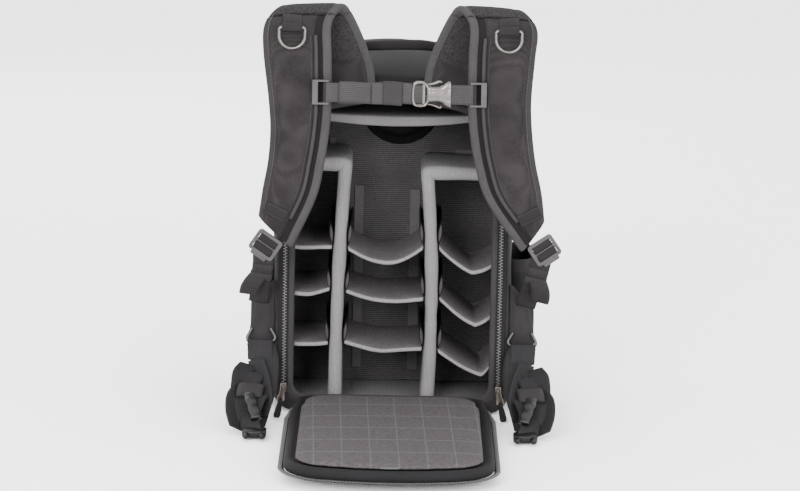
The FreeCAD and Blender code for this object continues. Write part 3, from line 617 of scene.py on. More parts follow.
# Nine soft shelves that hang between them: checked grey cloth over thin foam, a paler bound edge at
# the front and a folded hook tab at each end. The right-hand ones sag into a creased pinch.
def checked(name, colour, line_colour, down=60.0):
    """Heather grey cloth with a thin pale check."""
    across, turn = 34.0, 0.026
    cloth = Finish(name, colour, 0.9)
    fleck = cloth.cloud(1500.0, 3.0)
    streak = cloth.node("ShaderNodeTexNoise", {"Vector": cloth.node("ShaderNodeMapping", {
        "Vector": cloth.place(), "Scale": (220, 1500, 900)}), "Scale": 1.0, "Detail": 2.0})
    shade = (fleck * 1.5 + streak * 1.9 - 1.2).sum("MAXIMUM", 0.0).sum("MINIMUM", 1.0)
    low = tuple(c * 0.66 for c in colour)
    high = tuple(min(255, c * 1.32) for c in colour)
    base = cloth.mix(shade, low, high)
    x, y = cloth.axis(0), cloth.axis(1)
    lines_x = ((x + y * turn) * (math.pi / (across * mm))).sine().sum("ABSOLUTE").sum("LESS_THAN", 0.055)
    lines_y = ((y - x * turn) * (math.pi / (down * mm))).sine().sum("ABSOLUTE").sum("LESS_THAN", 0.08)
    lines = lines_x.sum("MAXIMUM", lines_y) * (fleck * 0.8 + 0.15)
    cloth.feed("Base Color", cloth.mix(lines, base, line_colour))
    cloth.feed("Roughness", fleck * 0.2 + 0.75)
    cloth.relief(fleck + streak, 0.35 * mm, 0.6)
    return cloth


check_cloth = checked("checked_lining", (104, 99, 100), (134, 146, 152))
shelf_cloth = checked("shelf_check", (146, 140, 142), (140, 146, 150))
edge_cloth = checked("shelf_edge", (160, 153, 153), (190, 188, 188), down=5000.0)
shelf_lines = {
    "left": [(211, 0.6, 0.5, 211), (150, 0.6, 0.4, 157), (84, 0.6, 0.5, 86)],
    "middle": [(211, 19, 0.5, 213), (155, 4, 0.55, 146), (88, 4, 0.55, 81)],
    "right": [(214, 16, 0.55, 197), (147, 20, 0.62, 133), (79, 32, 0.74, 80)],
}


def shelf_ends(column, left_z, right_z):
    """Where a shelf starts and stops across the bag."""
    gap = divider_thick / 2 + 0.6
    if column == "left":
        return -136.6, divider_x("left", right_z) - gap
    if column == "middle":
        return divider_x("left", left_z) + gap, divider_x("right", right_z) - gap
    return divider_x("right", left_z) + gap, 136.6


def shelf_shape(column, number):
    """One hanging shelf; creased ones fold along their lowest line."""
    left_z, hang, share, right_z = shelf_lines[column][number]
    x0, x1 = shelf_ends(column, left_z, right_z)
    belly = min(left_z, right_z) - hang
    creased = column == "right"

    def path(v):
        x = x0 + (x1 - x0) * v
        if v < share:
            t = v / share
            fall = math.sin(t * math.pi / 2)
            z = left_z + (belly - left_z) * (0.5 * t + 0.5 * fall if creased else fall)
        else:
            t = (v - share) / (1 - share)
            climb = 0.4 * t + 0.6 * t * t if creased else 1 - math.cos(t * math.pi / 2)
            z = belly + (right_z - belly) * climb
        slope = (right_z - left_z) * 0.2 / (x1 - x0)
        out = Vector((-slope, 0, 1)).normalized() * mm
        return Vector((x, -17.5, z + 3)) * mm, Vector((0, 1, 0)) * mm, out

    def place(u, v):
        centre, across, out = path(v)
        a, b = section[round(u * len(section)) % len(section)]
        p = centre + across * a + out * b
        if creased:
            off = (v - share) / 0.16
            p.z += 5.5 * mm * math.exp(-off * off) * math.sin((a + 70) / 11.0) * (a + 70) / 140
        p.z += rumple(p, 0.026, 1.1 * mm, number)
        return p

    section = oval(67.5, 6.2, 26, 8)
    return drape(len(section), 34, place, paint=lambda u, v: 1 if abs(u - 0.5) < 0.07 else 0)


for column in shelf_lines:
    for number in range(3):
        name = "shelf_%s_%d" % (column, number + 1)
        shelf = make(name + "_cloth", shelf_shape(column, number), (shelf_cloth, edge_cloth), "pack",
                     (name,))
        soften(shelf)

tab_grey = knit("tab_knit", (112, 106, 107), ribs=2, pitch=1.0)


def leaf(x, low, tall, lean):
    """A folded hook tab, black outside with its grey loop face showing at the front."""
    rings = [(0.50, -0.2), (0.62, -0.2), (0.66, 0.9), (0.9, 0.3), (1.0, 2.0), (1.0, 60), (1.0, 128),
             (0.7, 131)]

    def path(v):
        size, y = rings[round(v * 7)]
        across = Vector((2.9, 0, 0)) * size * mm
        centre = Vector((x, near + 2.5 + y, low + tall / 2)) * mm
        return centre, across, Vector((lean, 0, 1)) * (size * tall / 2 * mm)

    return sweep(oval(1, 2, 14, 1.5), 7, path, paint=lambda u, v: 0 if v < 0.25 else 1)


for row, (left_z, right_z) in enumerate(((216, 219), (155, 150), (88, 84))):
    spots = [("left", -1, left_z), ("left", 1, left_z), ("right", -1, right_z), ("right", 1, right_z)]
    for divider, way, z in spots:
        if row == 2 and way == 1 and divider == "right":
            z = 82
        x = divider_x(divider, z + 14) + way * (divider_thick / 2 + 3.3)
        tab = make("tab_%s_%s_%d" % (divider, "outer" if way < 0 else "inner", row + 1),
                   leaf(x, z, 32, way * 0.09), (tab_grey, black_tape), "pack")
        soften(tab)


# The back panel, lying open: a foam plate bound in black, its raised frame round a checked padded
# liner, the other half of the zip along its edge, three air-mesh pads on its underside and a hinge
# cloth to the bag. The liner is swollen by cloth simulation, the pads are shaped directly.
def inflate(thing, cap, voxel):
    """Swells a pad by cloth simulation, no point moving further than cap."""
    finer = thing.modifiers.new("finer", "REMESH")
    finer.mode = "VOXEL"
    finer.voxel_size = voxel * mm
    graph = bpy.context.evaluated_depsgraph_get()
    mesh = bpy.data.meshes.new_from_object(thing.evaluated_get(graph))
    thing.modifiers.clear()
    thing.data = mesh
    start = [v.co.copy() for v in mesh.vertices]
    swell = thing.modifiers.new("swell", "CLOTH")
    swell.settings.use_pressure = True
    swell.settings.uniform_pressure_force = 4.0
    swell.settings.effector_weights.gravity = 0
    for frame_number in range(1, 21):
        bpy.context.scene.frame_set(frame_number)
    graph = bpy.context.evaluated_depsgraph_get()
    swollen = thing.evaluated_get(graph).data
    moves = [v.co - s for v, s in zip(swollen.vertices, start)]
    thing.modifiers.clear()
    bpy.context.scene.frame_set(1)
    for v, s, move in zip(mesh.vertices, start, moves):
        v.co = s + move * min(1.0, cap * mm / max(move.length, 1e-9))
    for face in mesh.polygons:
        face.use_smooth = True
    return soften(thing)


hinge_y = -104.0
panel_outline = (127.0, 4.0, 390.0, 330.0, 55.0, 10.0)


def on_panel(x, z, d):
    """A point of the open panel: x across, z from the hinge line outwards, d its height."""
    taper = 1 - 0.079 * max(0.0, 1 - (z - 4) / 80)
    return Vector((x * taper, hinge_y - z, d)) * mm


frame_cloth = woven("panel_frame", (48, 46, 48), pitch=1.2, contrast=0.16)
mesh_cloth = Finish("air_mesh", (40, 38, 39), 0.92)
cells = mesh_cloth.node("ShaderNodeTexVoronoi", {"Vector": mesh_cloth.place(), "Scale": 420.0})
mesh_cloth.feed("Base Color", mesh_cloth.mix((cells * 1.7).sum("MINIMUM", 1.0), (20, 19, 20), (74, 71, 73)))
mesh_cloth.feed("Roughness", cells * 0.2 + 0.75)
mesh_cloth.relief(cells, 0.9 * mm, 0.8)
panel_levels = [(13.2, 90), (12.6, 50), (12.2, 20), (12.2, 8), (12.8, 2.6), (14.6, 0.6), (18, 0),
                (22.4, 0.3), (25.2, 2.0), (26.6, 5.2), (26.4, 8.6), (24.4, 11.0), (23.6, 13.5), (24, 30),
                (24.4, 80)]
panel_shape = stack([(d, inset(panel_outline, i)) for d, i in panel_levels], 110, on_panel,
                    paint=lambda u, v: 1 if v < 0.3 else 0)
panel = soften(make("back_panel_foam", panel_shape, (frame_cloth, mesh_cloth), "back_panel",
                    ("panel_pad",)))
liner_outline = (115.2, 15.0, 378.0, 318.0, 43.0, 26.0)
liner = make("checked_liner", stack(pillow(liner_outline, 25.0, 30.6, 3.4, 0.0, 0.8), 110, on_panel),
             (check_cloth,), "back_panel", ("panel_liner",))
inflate(liner, 1.2, 4.5)


def panel_line(grow, height):
    """The panel's half of the zip, round its edge."""
    start = 0.125
    outline = (127.0 + grow, 4.0, 390.0 + grow, 330.0 + grow, 55.0 + grow, 1.0)

    def at(v):
        t = start + (1 - 2 * start) * v
        here = on_panel(*door(t, *outline), height)
        return here, (on_panel(*door(t + 0.001, *outline), height) - here).normalized()

    return at


upward = Vector((0, 0, 1))
make("panel_zip_tape", sweep(oval(3.4, 1.2, 8), 100, flat_on(panel_line(2.2, 13.2), upward)), (tape_cloth,),
     "back_panel")
make("panel_zip_teeth", teeth(panel_line(4.0, 14.0), 460, 2.5 * mm, upward, 0.85 * mm), (coil_moulding,),
     "back_panel", ("panel_zip",), smooth=False)

for label, x, outline in (("left", -60, (44, 142, 330, 4000, 14, 14)),
                          ("right", 60, (44, 142, 330, 4000, 14, 14)),
                          ("lumbar", 0, (98, 22, 128, 4000, 16, 16))):
    def on_pad(a, z, d, x=x):
        return Vector((x + a, hinge_y - z, d)) * mm

    pad = make("back_pad_" + label, stack(pillow(outline, 1.2, 12.2, 5.0, 1.0, 0.0), 64, on_pad),
               (mesh_cloth,), "back_panel", ("back_pads",) if label == "lumbar" else ())
    soften(pad)


def hinge_path(v):
    y, z = ((-93.5, 17.0), (-99.0, 17.5), (-104.0, 19.6), (-109.0, 22.4), (-116.0, 24.6))[round(v * 4)]
    return Vector((0, y, z)) * mm, Vector((1, 0, 0)) * mm, Vector((0, 0.25, 1)) * mm


hinge_cloth = make("hinge_cloth", sweep(oval(112, 2.4, 24, 8), 4, hinge_path), (frame_cloth,), None)
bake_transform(hinge_cloth)


# Zip sliders and pulls: cast sliders, a flat metal eye on each and a moulded black tab. Eye and tab
# are short sweeps whose width and thickness change along them.
def dress(finish, *nodes):
    """Gives CAD nodes a finish."""
    for name in nodes:
        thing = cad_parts[name]
        thing.data.materials.clear()
        thing.data.materials.append(finish.material)


def brushed(name, colour, roughness):
    """Metal with fine scratches and handling marks."""
    grain = 260.0
    metal = Finish(name, colour, roughness, metallic=0.9)
    scratch = metal.node("ShaderNodeTexNoise", {"Vector": metal.node("ShaderNodeMapping", {
        "Vector": metal.place(), "Scale": (grain * 6, grain, grain * 6)}), "Scale": 1.0, "Detail": 3.0})
    marks = metal.cloud(90.0, 5.0)
    metal.feed("Roughness", scratch * 0.16 + marks * 0.22 + (roughness - 0.19))
    metal.feed("Base Color", metal.mix(marks, tuple(c * 0.86 for c in colour),
                                       tuple(min(255, c * 1.1) for c in colour)))
    metal.relief(scratch, 0.04 * mm, 0.5)
    return metal


bronze = brushed("zip_bronze", (176, 163, 154), 0.36)
nickel = brushed("nickel", (168, 162, 159), 0.28)
gunmetal = brushed("gunmetal", (118, 114, 114), 0.42)
tab_rubber = Finish("pull_rubber", (26, 25, 26), 0.6, specular_ior_level=0.2)
tab_rubber.feed("Roughness", tab_rubber.cloud(200.0) * 0.25 + 0.45)
dress(bronze, "zip_slider_left", "zip_slider_right")
for side, sign in (("left", -1), ("right", 1)):
    pin = Vector((sign * 137.5, -103.75, 33)) * mm
    way = Vector((sign * 0.16, -0.75, -0.64)).normalized()
    across = way.cross(Vector((0, 0, 1))).normalized()
    out = across.cross(way).normalized()

    def pull_path(v, profile, pin=pin, way=way, across=across, out=out):
        reach, wide, thick = profile[round(v * (len(profile) - 1))]
        return pin + way * (reach * mm), across * (wide * mm), out * (thick * mm)

    metal = [(0.2, 2.6, 0.9), (1.2, 4.0, 1.1), (9, 3.6, 1.1), (13, 4.8, 1.3), (19, 5.2, 1.3),
             (20.5, 4.6, 1.0)]
    rubber = [(17, 2.2, 1.5), (19, 3.4, 2.4), (22, 3.6, 2.5), (25, 3.0, 2.2), (31, 4.0, 2.6), (42, 4.7, 2.9),
              (45.5, 4.2, 2.6), (46.5, 3.0, 1.6)]
    make("zip_pull_eye_" + side, sweep(oval(1, 2, 12, 5), 5, lambda v, f=pull_path: f(v, metal)), (bronze,),
         "pull_" + side, ("zip_pull_" + side,))
    make("zip_pull_tab_" + side, sweep(oval(1, 2, 14, 3), 7, lambda v, f=pull_path: f(v, rubber)),
         (tab_rubber,), "pull_" + side)


# Outside: a stretch pocket on each flank with a gathered hem, quilted gussets at the lower
# corners and the big front pocket with piping round its foot.
stretch = woven("stretch_pocket", (50, 48, 50), pitch=1.8, contrast=0.22, depth=0.4)
hem_cloth = woven("pocket_hem", (64, 61, 63), pitch=0.9, contrast=0.14)
for side, sign in (("left", -1), ("right", 1)):
    profile = [(22.4, 9), (22.8, 4), (26, 0.6), (34, -0.4), (70, -1.6), (120, -2.0), (160, -0.8),
               (184, 0.6), (192, 0.2), (196.5, 0.4), (197.6, 2.0), (196.5, 3.6), (190, 4.0), (178, 3.6),
               (120, 2.2), (60, 3.0), (32, 4.4), (29, 9)]

    def pocket_point(u, v, sign=sign, profile=profile):
        z, d = profile[round(v * (len(profile) - 1))]
        a, b = door(u, 62 - d, 150.6 + max(0, d) * 0.5, 182 - d, 4000, 20 - min(d, 0), 2.0)
        gather = 0.8 * math.sin(u * 150) * math.exp(-((z - 192) / 14) ** 2) if b > 160 else 0.0
        p = Vector((sign * (b + gather), 4 + a, z)) * mm
        p.x += sign * rumple(p, 0.05, 2.0 * mm, 5) * (1 if b > 160 else 0)
        return p

    top = len(profile) - 1
    pocket = make("side_pocket_cloth_" + side, drape(72, top, pocket_point,
                                                     paint=lambda u, v: 1 if 7 < v * top < 13 else 0),
                  (stretch, hem_cloth), "pack", ("side_pocket_" + side,))
    soften(pocket)

    def wing_path(v, sign=sign):
        z = 70.5 + 101 * v
        edge = ((70.5, 152), (78, 177), (96, 184.5), (146, 175.5), (172, 151.5))
        for (z0, x0), (z1, x1) in zip(edge, edge[1:]):
            if z <= z1:
                outer = x0 + (x1 - x0) * (z - z0) / (z1 - z0)
                break
        centre = Vector((sign * (150.0 + outer) / 2, -89, z)) * mm
        return centre, Vector(((outer - 150.0) / 2, 0, 0)) * mm, Vector((0, 1, 0)) * mm

    wing = make("gusset_" + side, sweep(oval(1.0, 6, 16, 3), 20, wing_path, wrinkle=(0.02, 0.8 * mm)),
                (shell_cloth,), "pack", ("side_wings",) if side == "left" else ())
    soften(wing)


def on_front(x, z, d):
    """A point of the front pocket: x across, z up, d its depth."""
    return Vector((x, d, z)) * mm


front_outline = (121.5, 35, 391.5, 560, 48, 22)
front_shape = stack(pillow(front_outline, 95.6, 121, 9, 0, 4.5), 90, on_front, wrinkle=(0.05, 1.2 * mm))
front_pad = make("front_pocket_cloth", front_shape, (shell_cloth,), "pack",
                 ("front_pocket",))
inflate(front_pad, 3.0, 6.0)


def piping_line(v):
    """Round the foot of the front pocket."""
    x, z = door(v, 122.5, 34, 392.5, 561, 49, 23)
    return Vector((x, 98.5, z)) * mm, Vector((0, 1, 0)) * mm, Vector((x, 0, z - 213)).normalized() * mm


make("front_pocket_piping", sweep(oval(2.2, 4.4, 10, 2), 96, piping_line, shut=True), (hem_cloth,), "pack")


# The grab handle: padded webbing in a bound sleeve over the crown, on its own hinge. A rounded
# section is swept along the handle's arch.
handle_cloth = woven("handle_cloth", (50, 47, 49), pitch=1.0, contrast=0.16)
handle_y = -58.0
base = crown(handle_y) - 4


def smooth_line(points, v):
    """A point on a smooth line through points."""
    place = v * (len(points) - 1)
    i = min(int(place), len(points) - 2)
    t = place - i
    p = [Vector(points[max(0, min(len(points) - 1, i + k))]) for k in (-1, 0, 1, 2)]
    return 0.5 * (2 * p[1] + (p[2] - p[0]) * t + (2 * p[0] - 5 * p[1] + 4 * p[2] - p[3]) * t * t
                  + (3 * p[1] - p[0] - 3 * p[2] + p[3]) * t ** 3)


handle_points = [(-66, 0, 6), (-60, 0, 20), (-46, 0, 31), (-24, 0, 33.5), (0, 0, 34.5), (24, 0, 34.5),
                 (46, 0, 32), (60, 0, 21), (66, 0, 6)]


def handle_path(v):
    here = smooth_line(handle_points, v)
    ahead = smooth_line(handle_points, min(1, v + 0.01))
    way = (ahead - smooth_line(handle_points, max(0, v - 0.01))).normalized()
    thick = 0.62 + 0.38 * math.sin(math.pi * min(1, max(0, (v - 0.08) / 0.84))) ** 0.5
    centre = here + Vector((4, handle_y, base))
    return centre * mm, Vector((0, 1, 0)) * thick * mm, way.cross(Vector((0, 1, 0))) * thick * mm


grip = make("handle_sleeve", sweep(oval(8.6, 13.5, 18, 2.6), 48, handle_path, wrinkle=(0.012, 0.5 * mm)),
            (handle_cloth,), "handle", ("grab_handle",))
soften(grip)


# Shoulder straps: curved foam pads in smooth cloth, bound round the edges with a stitched tape,
# air mesh inside, a recessed channel with its slider piping and a box-stitched end patch. The
# stations are the CAD strap's own, taken as a smooth line.
strap_stations = [(-106, -14, -30, -10, -10, 1, 0), (-110, 14, -34, 17, -10, 1, 0),
                  (-121, 46, -46, 50, -13, 1, -0.15), (-133, 72, -58, 76, -20, 1, -0.6),
                  (-148, 87, -68, 91, -34, 0.25, -1), (-162, 82, -78, 87, -48, -0.6, -1),
                  (-171, 66, -86, 70, -57, -1, -0.45), (-170.5, 34, -85, 34, -62, -1, -0.06),
                  (-164, -18, -84, -18, -63, -1, 0), (-161, -58, -86, -58, -63, -1, 0),
                  (-163, -98, -92, -102, -63, -1, 0), (-169.5, -136, -102, -148, -62, -1, 0),
                  (-174.5, -172, -132, -214, -61, -1, 0)]
strap_splay = [(0, 0)] * 7 + [(-2, 0), (1, 1), (6, 2), (9.5, 4), (11.5, 10), (11, 26)]
harness_shift = 4.0
back_face = -95.0
strap_sides = {}
for sign in (-1, 1):
    outer_line, inner_line = [], []
    for station, splay in zip(strap_stations, strap_splay):
        outer_x, outer_z, inner_x, inner_z, y = station[:5]
        for line, x, z, out in ((outer_line, outer_x, outer_z, splay[0]),
                                (inner_line, inner_x, inner_z, splay[1])):
            across_bag = x if sign < 0 else out - x
            line.append((across_bag + harness_shift, y + back_face, z + crown_back))
    strap_sides[sign] = (outer_line, inner_line, [(0, s[5], s[6]) for s in strap_stations])


def strap_frame(v, sign):
    """(outer edge, inner edge, outward direction) at a place along a strap, from its root to its tip."""
    outer_line, inner_line, facings = strap_sides[sign]
    outer, inner = smooth_line(outer_line, v), smooth_line(inner_line, v)
    ahead, behind = smooth_line(outer_line, min(1, v + 0.01)), smooth_line(outer_line, max(0, v - 0.01))
    out = (inner - outer).cross(ahead - behind).normalized()
    return outer, inner, out if out.dot(smooth_line(facings, v)) > 0 else -out


front_side = [("o", 0.0, 0.0), ("o", 0.8, 3.6), ("o", 3.5, 5.4), ("o", 7.0, 5.7), ("o", 8.2, 4.6),
              ("o", 9.6, 5.8), ("o", 18, 6.5), ("m", 0.5, 6.6), ("i", 27, 6.5), ("i", 23.6, 6.2),
              ("i", 22.4, 3.4), ("i", 12.4, 3.0), ("i", 11.2, 5.4), ("i", 9.0, 6.2), ("i", 3.5, 5.8),
              ("i", 0.8, 3.6)]
back_side = [("i", 0.0, 0.0), ("i", 0.8, -3.6), ("i", 3.5, -5.2), ("i", 8, -5.0), ("i", 9.5, -4.6),
             ("i", 12, -6.0), ("m", 0.5, -6.5), ("o", 12, -6.0), ("o", 9.5, -4.6), ("o", 8, -5.0),
             ("o", 3.5, -5.2), ("o", 0.8, -3.6)]
strap_ring = front_side + back_side


def strap_lump(p):
    """The foam's small unevenness at a point."""
    return noise.noise(p / 42) * 0.9 + noise.noise(p / 13) * 0.35


def strap_at(u, v, sign):
    """A point of a shoulder strap's skin."""
    outer, inner, out = strap_frame(v, sign)
    kind, gap, rise = strap_ring[round(u * len(strap_ring)) % len(strap_ring)]
    across = (inner - outer).normalized()
    wide = (inner - outer).length
    gap = min(gap, wide * 0.45)
    if v < 0.42 and kind == "i" and gap > 10 and rise > 0:
        rise = 6.3
    p = outer + across * gap if kind == "o" else inner - across * gap if kind == "i" else (outer + inner) / 2
    p += out * rise
    return (p + out * strap_lump(p)) * mm


def strap_paint(u, v):
    """Which cloth each part of a strap is cut from."""
    k = int(u * len(strap_ring))
    if k in (10, 11) and v > 0.42:
        return 3
    if k < 4 or k > 24:
        return 1
    if 12 <= k <= 19:
        return 2
    return 0 if k < 16 else (4 if v > 0.1 else 0)


strap_cloth = woven("strap_cloth", (64, 60, 61), pitch=0.9, contrast=0.34, depth=0.5)
outer_binding = woven("strap_outer_binding", (74, 71, 73), pitch=0.7, contrast=0.12)
inner_binding = woven("strap_inner_binding", (92, 89, 91), pitch=0.7, contrast=0.12)
channel_cloth = woven("strap_channel", (44, 42, 43), pitch=0.7, contrast=0.12)
piping_cloth = woven("strap_piping", (84, 81, 82), pitch=0.7, contrast=0.1)
thread = woven("sewing_thread", (104, 100, 102), pitch=0.4, contrast=0.1, depth=0.1)
patch_cloth = woven("strap_patch", (58, 55, 57), pitch=0.9, contrast=0.14)


def stitches(shape, line, count, long, wide):
    """Dashes of thread along a line of (place, way, out)."""
    for i in range(count):
        centre, way, out = line((i + 0.5) / count)
        way = way.normalized()
        bar(shape, centre, way * (long / 2 * mm), way.cross(out).normalized() * (wide / 2 * mm),
            out.normalized() * (0.35 * mm))
    return shape


def strap_seam(sign, kind, gap, rise, start, stop):
    """A line along the strap's face, a fixed gap in from one edge."""
    def place(v):
        outer, inner, out = strap_frame(v, sign)
        across = (inner - outer).normalized()
        p = outer + across * gap if kind == "o" else inner - across * gap
        return (p + out * (rise + strap_lump(p))) * mm, out

    def at(t):
        v = start + (stop - start) * t
        here, out = place(v)
        return here, place(min(1, v + 0.004))[0] - here, out

    return at


for side, sign in (("left", -1), ("right", 1)):
    shape = drape(len(strap_ring), 96, lambda u, v, s=sign: strap_at(u, v, s), paint=strap_paint)
    cloths = (strap_cloth, outer_binding, inner_binding, channel_cloth, mesh_cloth)
    pad = make("strap_pad_" + side, shape, cloths, "harness", ("shoulder_strap_" + side,))
    soften(pad)
    sewing = bmesh.new()
    stitches(sewing, strap_seam(sign, "o", 6.8, 5.9, 0.05, 0.97), 130, 2.4, 0.9)
    stitches(sewing, strap_seam(sign, "i", 9.2, 6.3, 0.05, 0.95), 130, 2.4, 0.9)
    stitches(sewing, strap_seam(sign, "i", 25.6, 6.7, 0.53, 0.93), 80, 2.0, 0.5)
    make("strap_stitching_" + side, sewing, (thread,), "harness", smooth=False)
    run = strap_seam(sign, "i", 19.4, 5.2, 0.53, 0.955)

    def piping_path(v, run=run):
        here, way, out = run(v)
        return here, way.cross(out).normalized() * mm, out.normalized() * mm

    make("slider_piping_" + side, sweep(oval(2.5, 5.0, 10, 2), 60, piping_path), (piping_cloth,), "harness",
         ("slider_rail_" + side,))


# Webbing over the shoulders to the D-rings, and the rings' own loops: flat polyester webbing with its
# ribs and weft, laid along the straps as a smooth line through points, with sewn end patches below.
def flat(half, thick):
    """A webbing's section, evenly divided, its edges a little thinner."""
    cuts = 10
    upper = []
    for k in range(cuts + 1):
        fullness = 0.5 if k in (0, cuts) else 1
        upper.append((half * (1 - 2 * k / cuts), thick / 2 * fullness))
    return upper + [(a, -b) for a, b in upper[::-1]]


def ribbed(name, colour, rib=2.1, contrast=0.2):
    """Polyester webbing: ribs along it, weft across it, from its own UV map."""
    roughness = 0.72
    cloth = Finish(name, colour, roughness)
    ribs = (cloth.axis(0, "UV") * (2 * math.pi / (rib * mm))).sine()
    weft = (cloth.axis(1, "UV") * (2 * math.pi / (1.1 * mm))).sine()
    fleck = cloth.cloud(900.0, 3.0, "UV")
    worn = cloth.cloud(40.0, 3.0)
    shade = ribs * 0.2 + weft * 0.12 + fleck * 0.7 + worn * 0.5 - 0.1
    low = tuple(c * (1 - contrast) for c in colour)
    high = tuple(min(255, c * (1 + contrast)) for c in colour)
    cloth.feed("Base Color", cloth.mix(shade.sum("MAXIMUM", 0.0).sum("MINIMUM", 1.0), low, high))
    cloth.feed("Roughness", fleck * 0.2 + (roughness - 0.1))
    cloth.relief(ribs * 0.6 + weft * 0.4, 0.3 * mm, 0.7)
    return cloth


def webbing(name, points, across, half, thick, finish, body, stands_for, steps, bulge=None):
    """Webbing through points (mm), its width along across; bulge(v) adds lift to its section."""
    total = sum((Vector(b) - Vector(a)).length for a, b in zip(points, points[1:]))

    def path(v):
        here = smooth_line(points, v)
        way = (smooth_line(points, min(1, v + 0.02)) - smooth_line(points, max(0, v - 0.02))).normalized()
        side = (smooth_line(across, v) if isinstance(across, list) else Vector(across)).normalized()
        out = side.cross(way).normalized()
        out = -out if out.y > 0.01 or (abs(out.y) < 0.01 and out.z < 0) else out
        return here * mm, side * mm, out * ((bulge(v) if bulge else 1.0) * mm)

    shape = sweep(flat(half, thick), steps, path, spread=(4 * half * mm, total * mm))
    return make(name, shape, (finish,), body, stands_for)


strap_webbing = ribbed("strap_webbing", (66, 63, 65))
chest_webbing = ribbed("chest_webbing", (84, 81, 82), contrast=0.3)
keeper_web = ribbed("keeper_elastic", (74, 71, 73), rib=1.2)
belt_web = ribbed("belt_webbing_cloth", (60, 58, 60), rib=2.6)
dress(nickel, "d_ring_left", "d_ring_right")
dress(gunmetal, "sternum_slider_left", "sternum_slider_right", "strap_lock_left", "strap_lock_right")
ring_x = {-1: -130.5, 1: 138.5}
for side, sign in (("left", -1), ("right", 1)):
    points = []
    for i in range(9):
        v = 0.20 + 0.285 * i / 8
        outer, inner, out = strap_frame(v, sign)
        across = (inner - outer).normalized()
        points.append(tuple(outer + across * (abs(outer.x - ring_x[sign]) if i > 5 else 38.0) + out * 7.4))
    points.append((ring_x[sign], -171.5, 511.0))
    webbing("shoulder_webbing_" + side, points, (1, 0, 0.05 * sign), 12.5, 1.6, strap_webbing, "harness",
            ("chest_band_" + side,), 40)

    def loop_path(v, x=ring_x[sign]):
        centre = Vector((x - 12.6 + 25.2 * v, -171.2, 508)) * mm
        return centre, Vector((0, 1, 0)) * mm, Vector((0, 0, 1)) * mm

    make("ring_loop_" + side, sweep(oval(4.3, 9.4, 16, 2.4), 10, loop_path), (strap_webbing,), "harness")
    patch = bmesh.new()
    outer, inner, out = strap_frame(0.955, sign)
    across = (inner - outer).normalized()
    along = out.cross(across).normalized()
    middle = outer + across * ((inner - outer).length * 0.36) + out * 7.0
    bar(patch, middle * mm, across * (14.5 * mm), along * (8.0 * mm), out * (0.7 * mm))
    bmesh.ops.bevel(patch, geom=patch.edges[:], offset=0.6 * mm, segments=2, affect="EDGES", profile=0.5,
                    material=-1)
    make("strap_end_patch_" + side, patch, (patch_cloth,), "harness", smooth=False)
    box_stitch = bmesh.new()
    for offset, way, span in ((6.2, across, 12.5), (-6.2, across, 12.5)):
        for k in range(11):
            at = middle + along * offset + across * (span * (k / 5 - 1)) + out * 0.9
            bar(box_stitch, at * mm, way * (0.9 * mm), out.cross(way) * (0.28 * mm), out * (0.3 * mm))
    make("strap_end_stitch_" + side, box_stitch, (inner_binding,), "harness", smooth=False)


# The sternum strap: webbing looped through each slider, its long tail folded twice and held by an
# elastic keeper, and a side-release buckle of cast metal: a ring frame with its bar, two springy
# prongs and a fluted barrel.
chest_z = 428.0


def chest_run(name, x0, x1, y, thick, half, body="sternum_half_left", finish=chest_webbing, lift=0.0,
              puff=0.0, stands_for=()):
    """A stretch of the chest strap from x0 to x1, lifted at its start and puffed out in its middle."""
    points = [(x0, y + 0.6 * (puff > 0), chest_z + lift), ((x0 * 2 + x1) / 3, y, chest_z + lift),
              ((x0 + 2 * x1) / 3, y, chest_z + lift * 0.6),
              (x1, y + 0.4 * (puff > 0), chest_z + lift * 0.2)]

    def bulge(v):
        arch = math.sin(math.pi * v)
        return 0.75 + 0.25 * min(1, 3 * arch) + puff * arch

    return webbing(name, points, (0, 0, 1), half, thick, finish, body, stands_for, 14, bulge)


chest_run("chest_web_slider_left", -87.5, -66, -174.6, 3.2, 12.2, stands_for=("sternum_webbing_left",))
chest_run("chest_web_under", -72, 21, -173.6, 1.8, 12.4, lift=-1.5)
chest_run("chest_tail_outer", -71, -31.5, -178.0, 4.4, 13.0, lift=1.6, puff=0.25)
chest_run("chest_tail_inner", -31.0, -14, -177.6, 3.6, 13.6, lift=0.2, puff=0.1)
chest_run("chest_keeper", -16.4, 7.4, -178.0, 6.4, 14.8, finish=keeper_web, lift=1.0)
chest_run("chest_tail_end", 7.0, 19.4, -177.0, 2.2, 12.9, lift=1.0)
chest_run("chest_web_in_plug", 18.5, 36.5, -175.6, 2.0, 11.6)
chest_run("chest_web_right", 66.5, 95.5, -175.4, 2.4, 12.3, "sternum_half_right",
          stands_for=("sternum_webbing_right",))
tacks = bmesh.new()
for x in (78.2, 87.0):
    for k in range(8):
        bar(tacks, Vector((x, -177.0, chest_z - 10.5 + 3.0 * k)) * mm, Vector((0.5, 0, 0)) * mm,
            Vector((0, 0.4, 0)) * mm, Vector((0, 0, 1.0)) * mm)
make("chest_bartacks", tacks, (thread,), "sternum_half_right", smooth=False)
frame_half = (9.6, 14.6)


def plug_path(v):
    """Round the plug's ring frame."""
    a = 2 * math.pi * v
    c, s = math.cos(a), math.sin(a)
    x = 30.4 + math.copysign(abs(c) ** 0.55, c) * frame_half[0] * (1.0 if c < 0 else 0.95)
    z = chest_z + math.copysign(abs(s) ** 0.55, s) * frame_half[1] * (1 - 0.12 * max(0, c))
    outward = Vector((c / frame_half[0], 0, s / frame_half[1])).normalized()
    return Vector((x, -174.8, z)) * mm, outward * mm, Vector((0, 1, 0)) * mm


make("plug_frame", sweep(oval(1.9, 5.6, 12, 2.6), 48, plug_path, shut=True), (nickel,), "sternum_half_left",
     ("buckle_plug",))


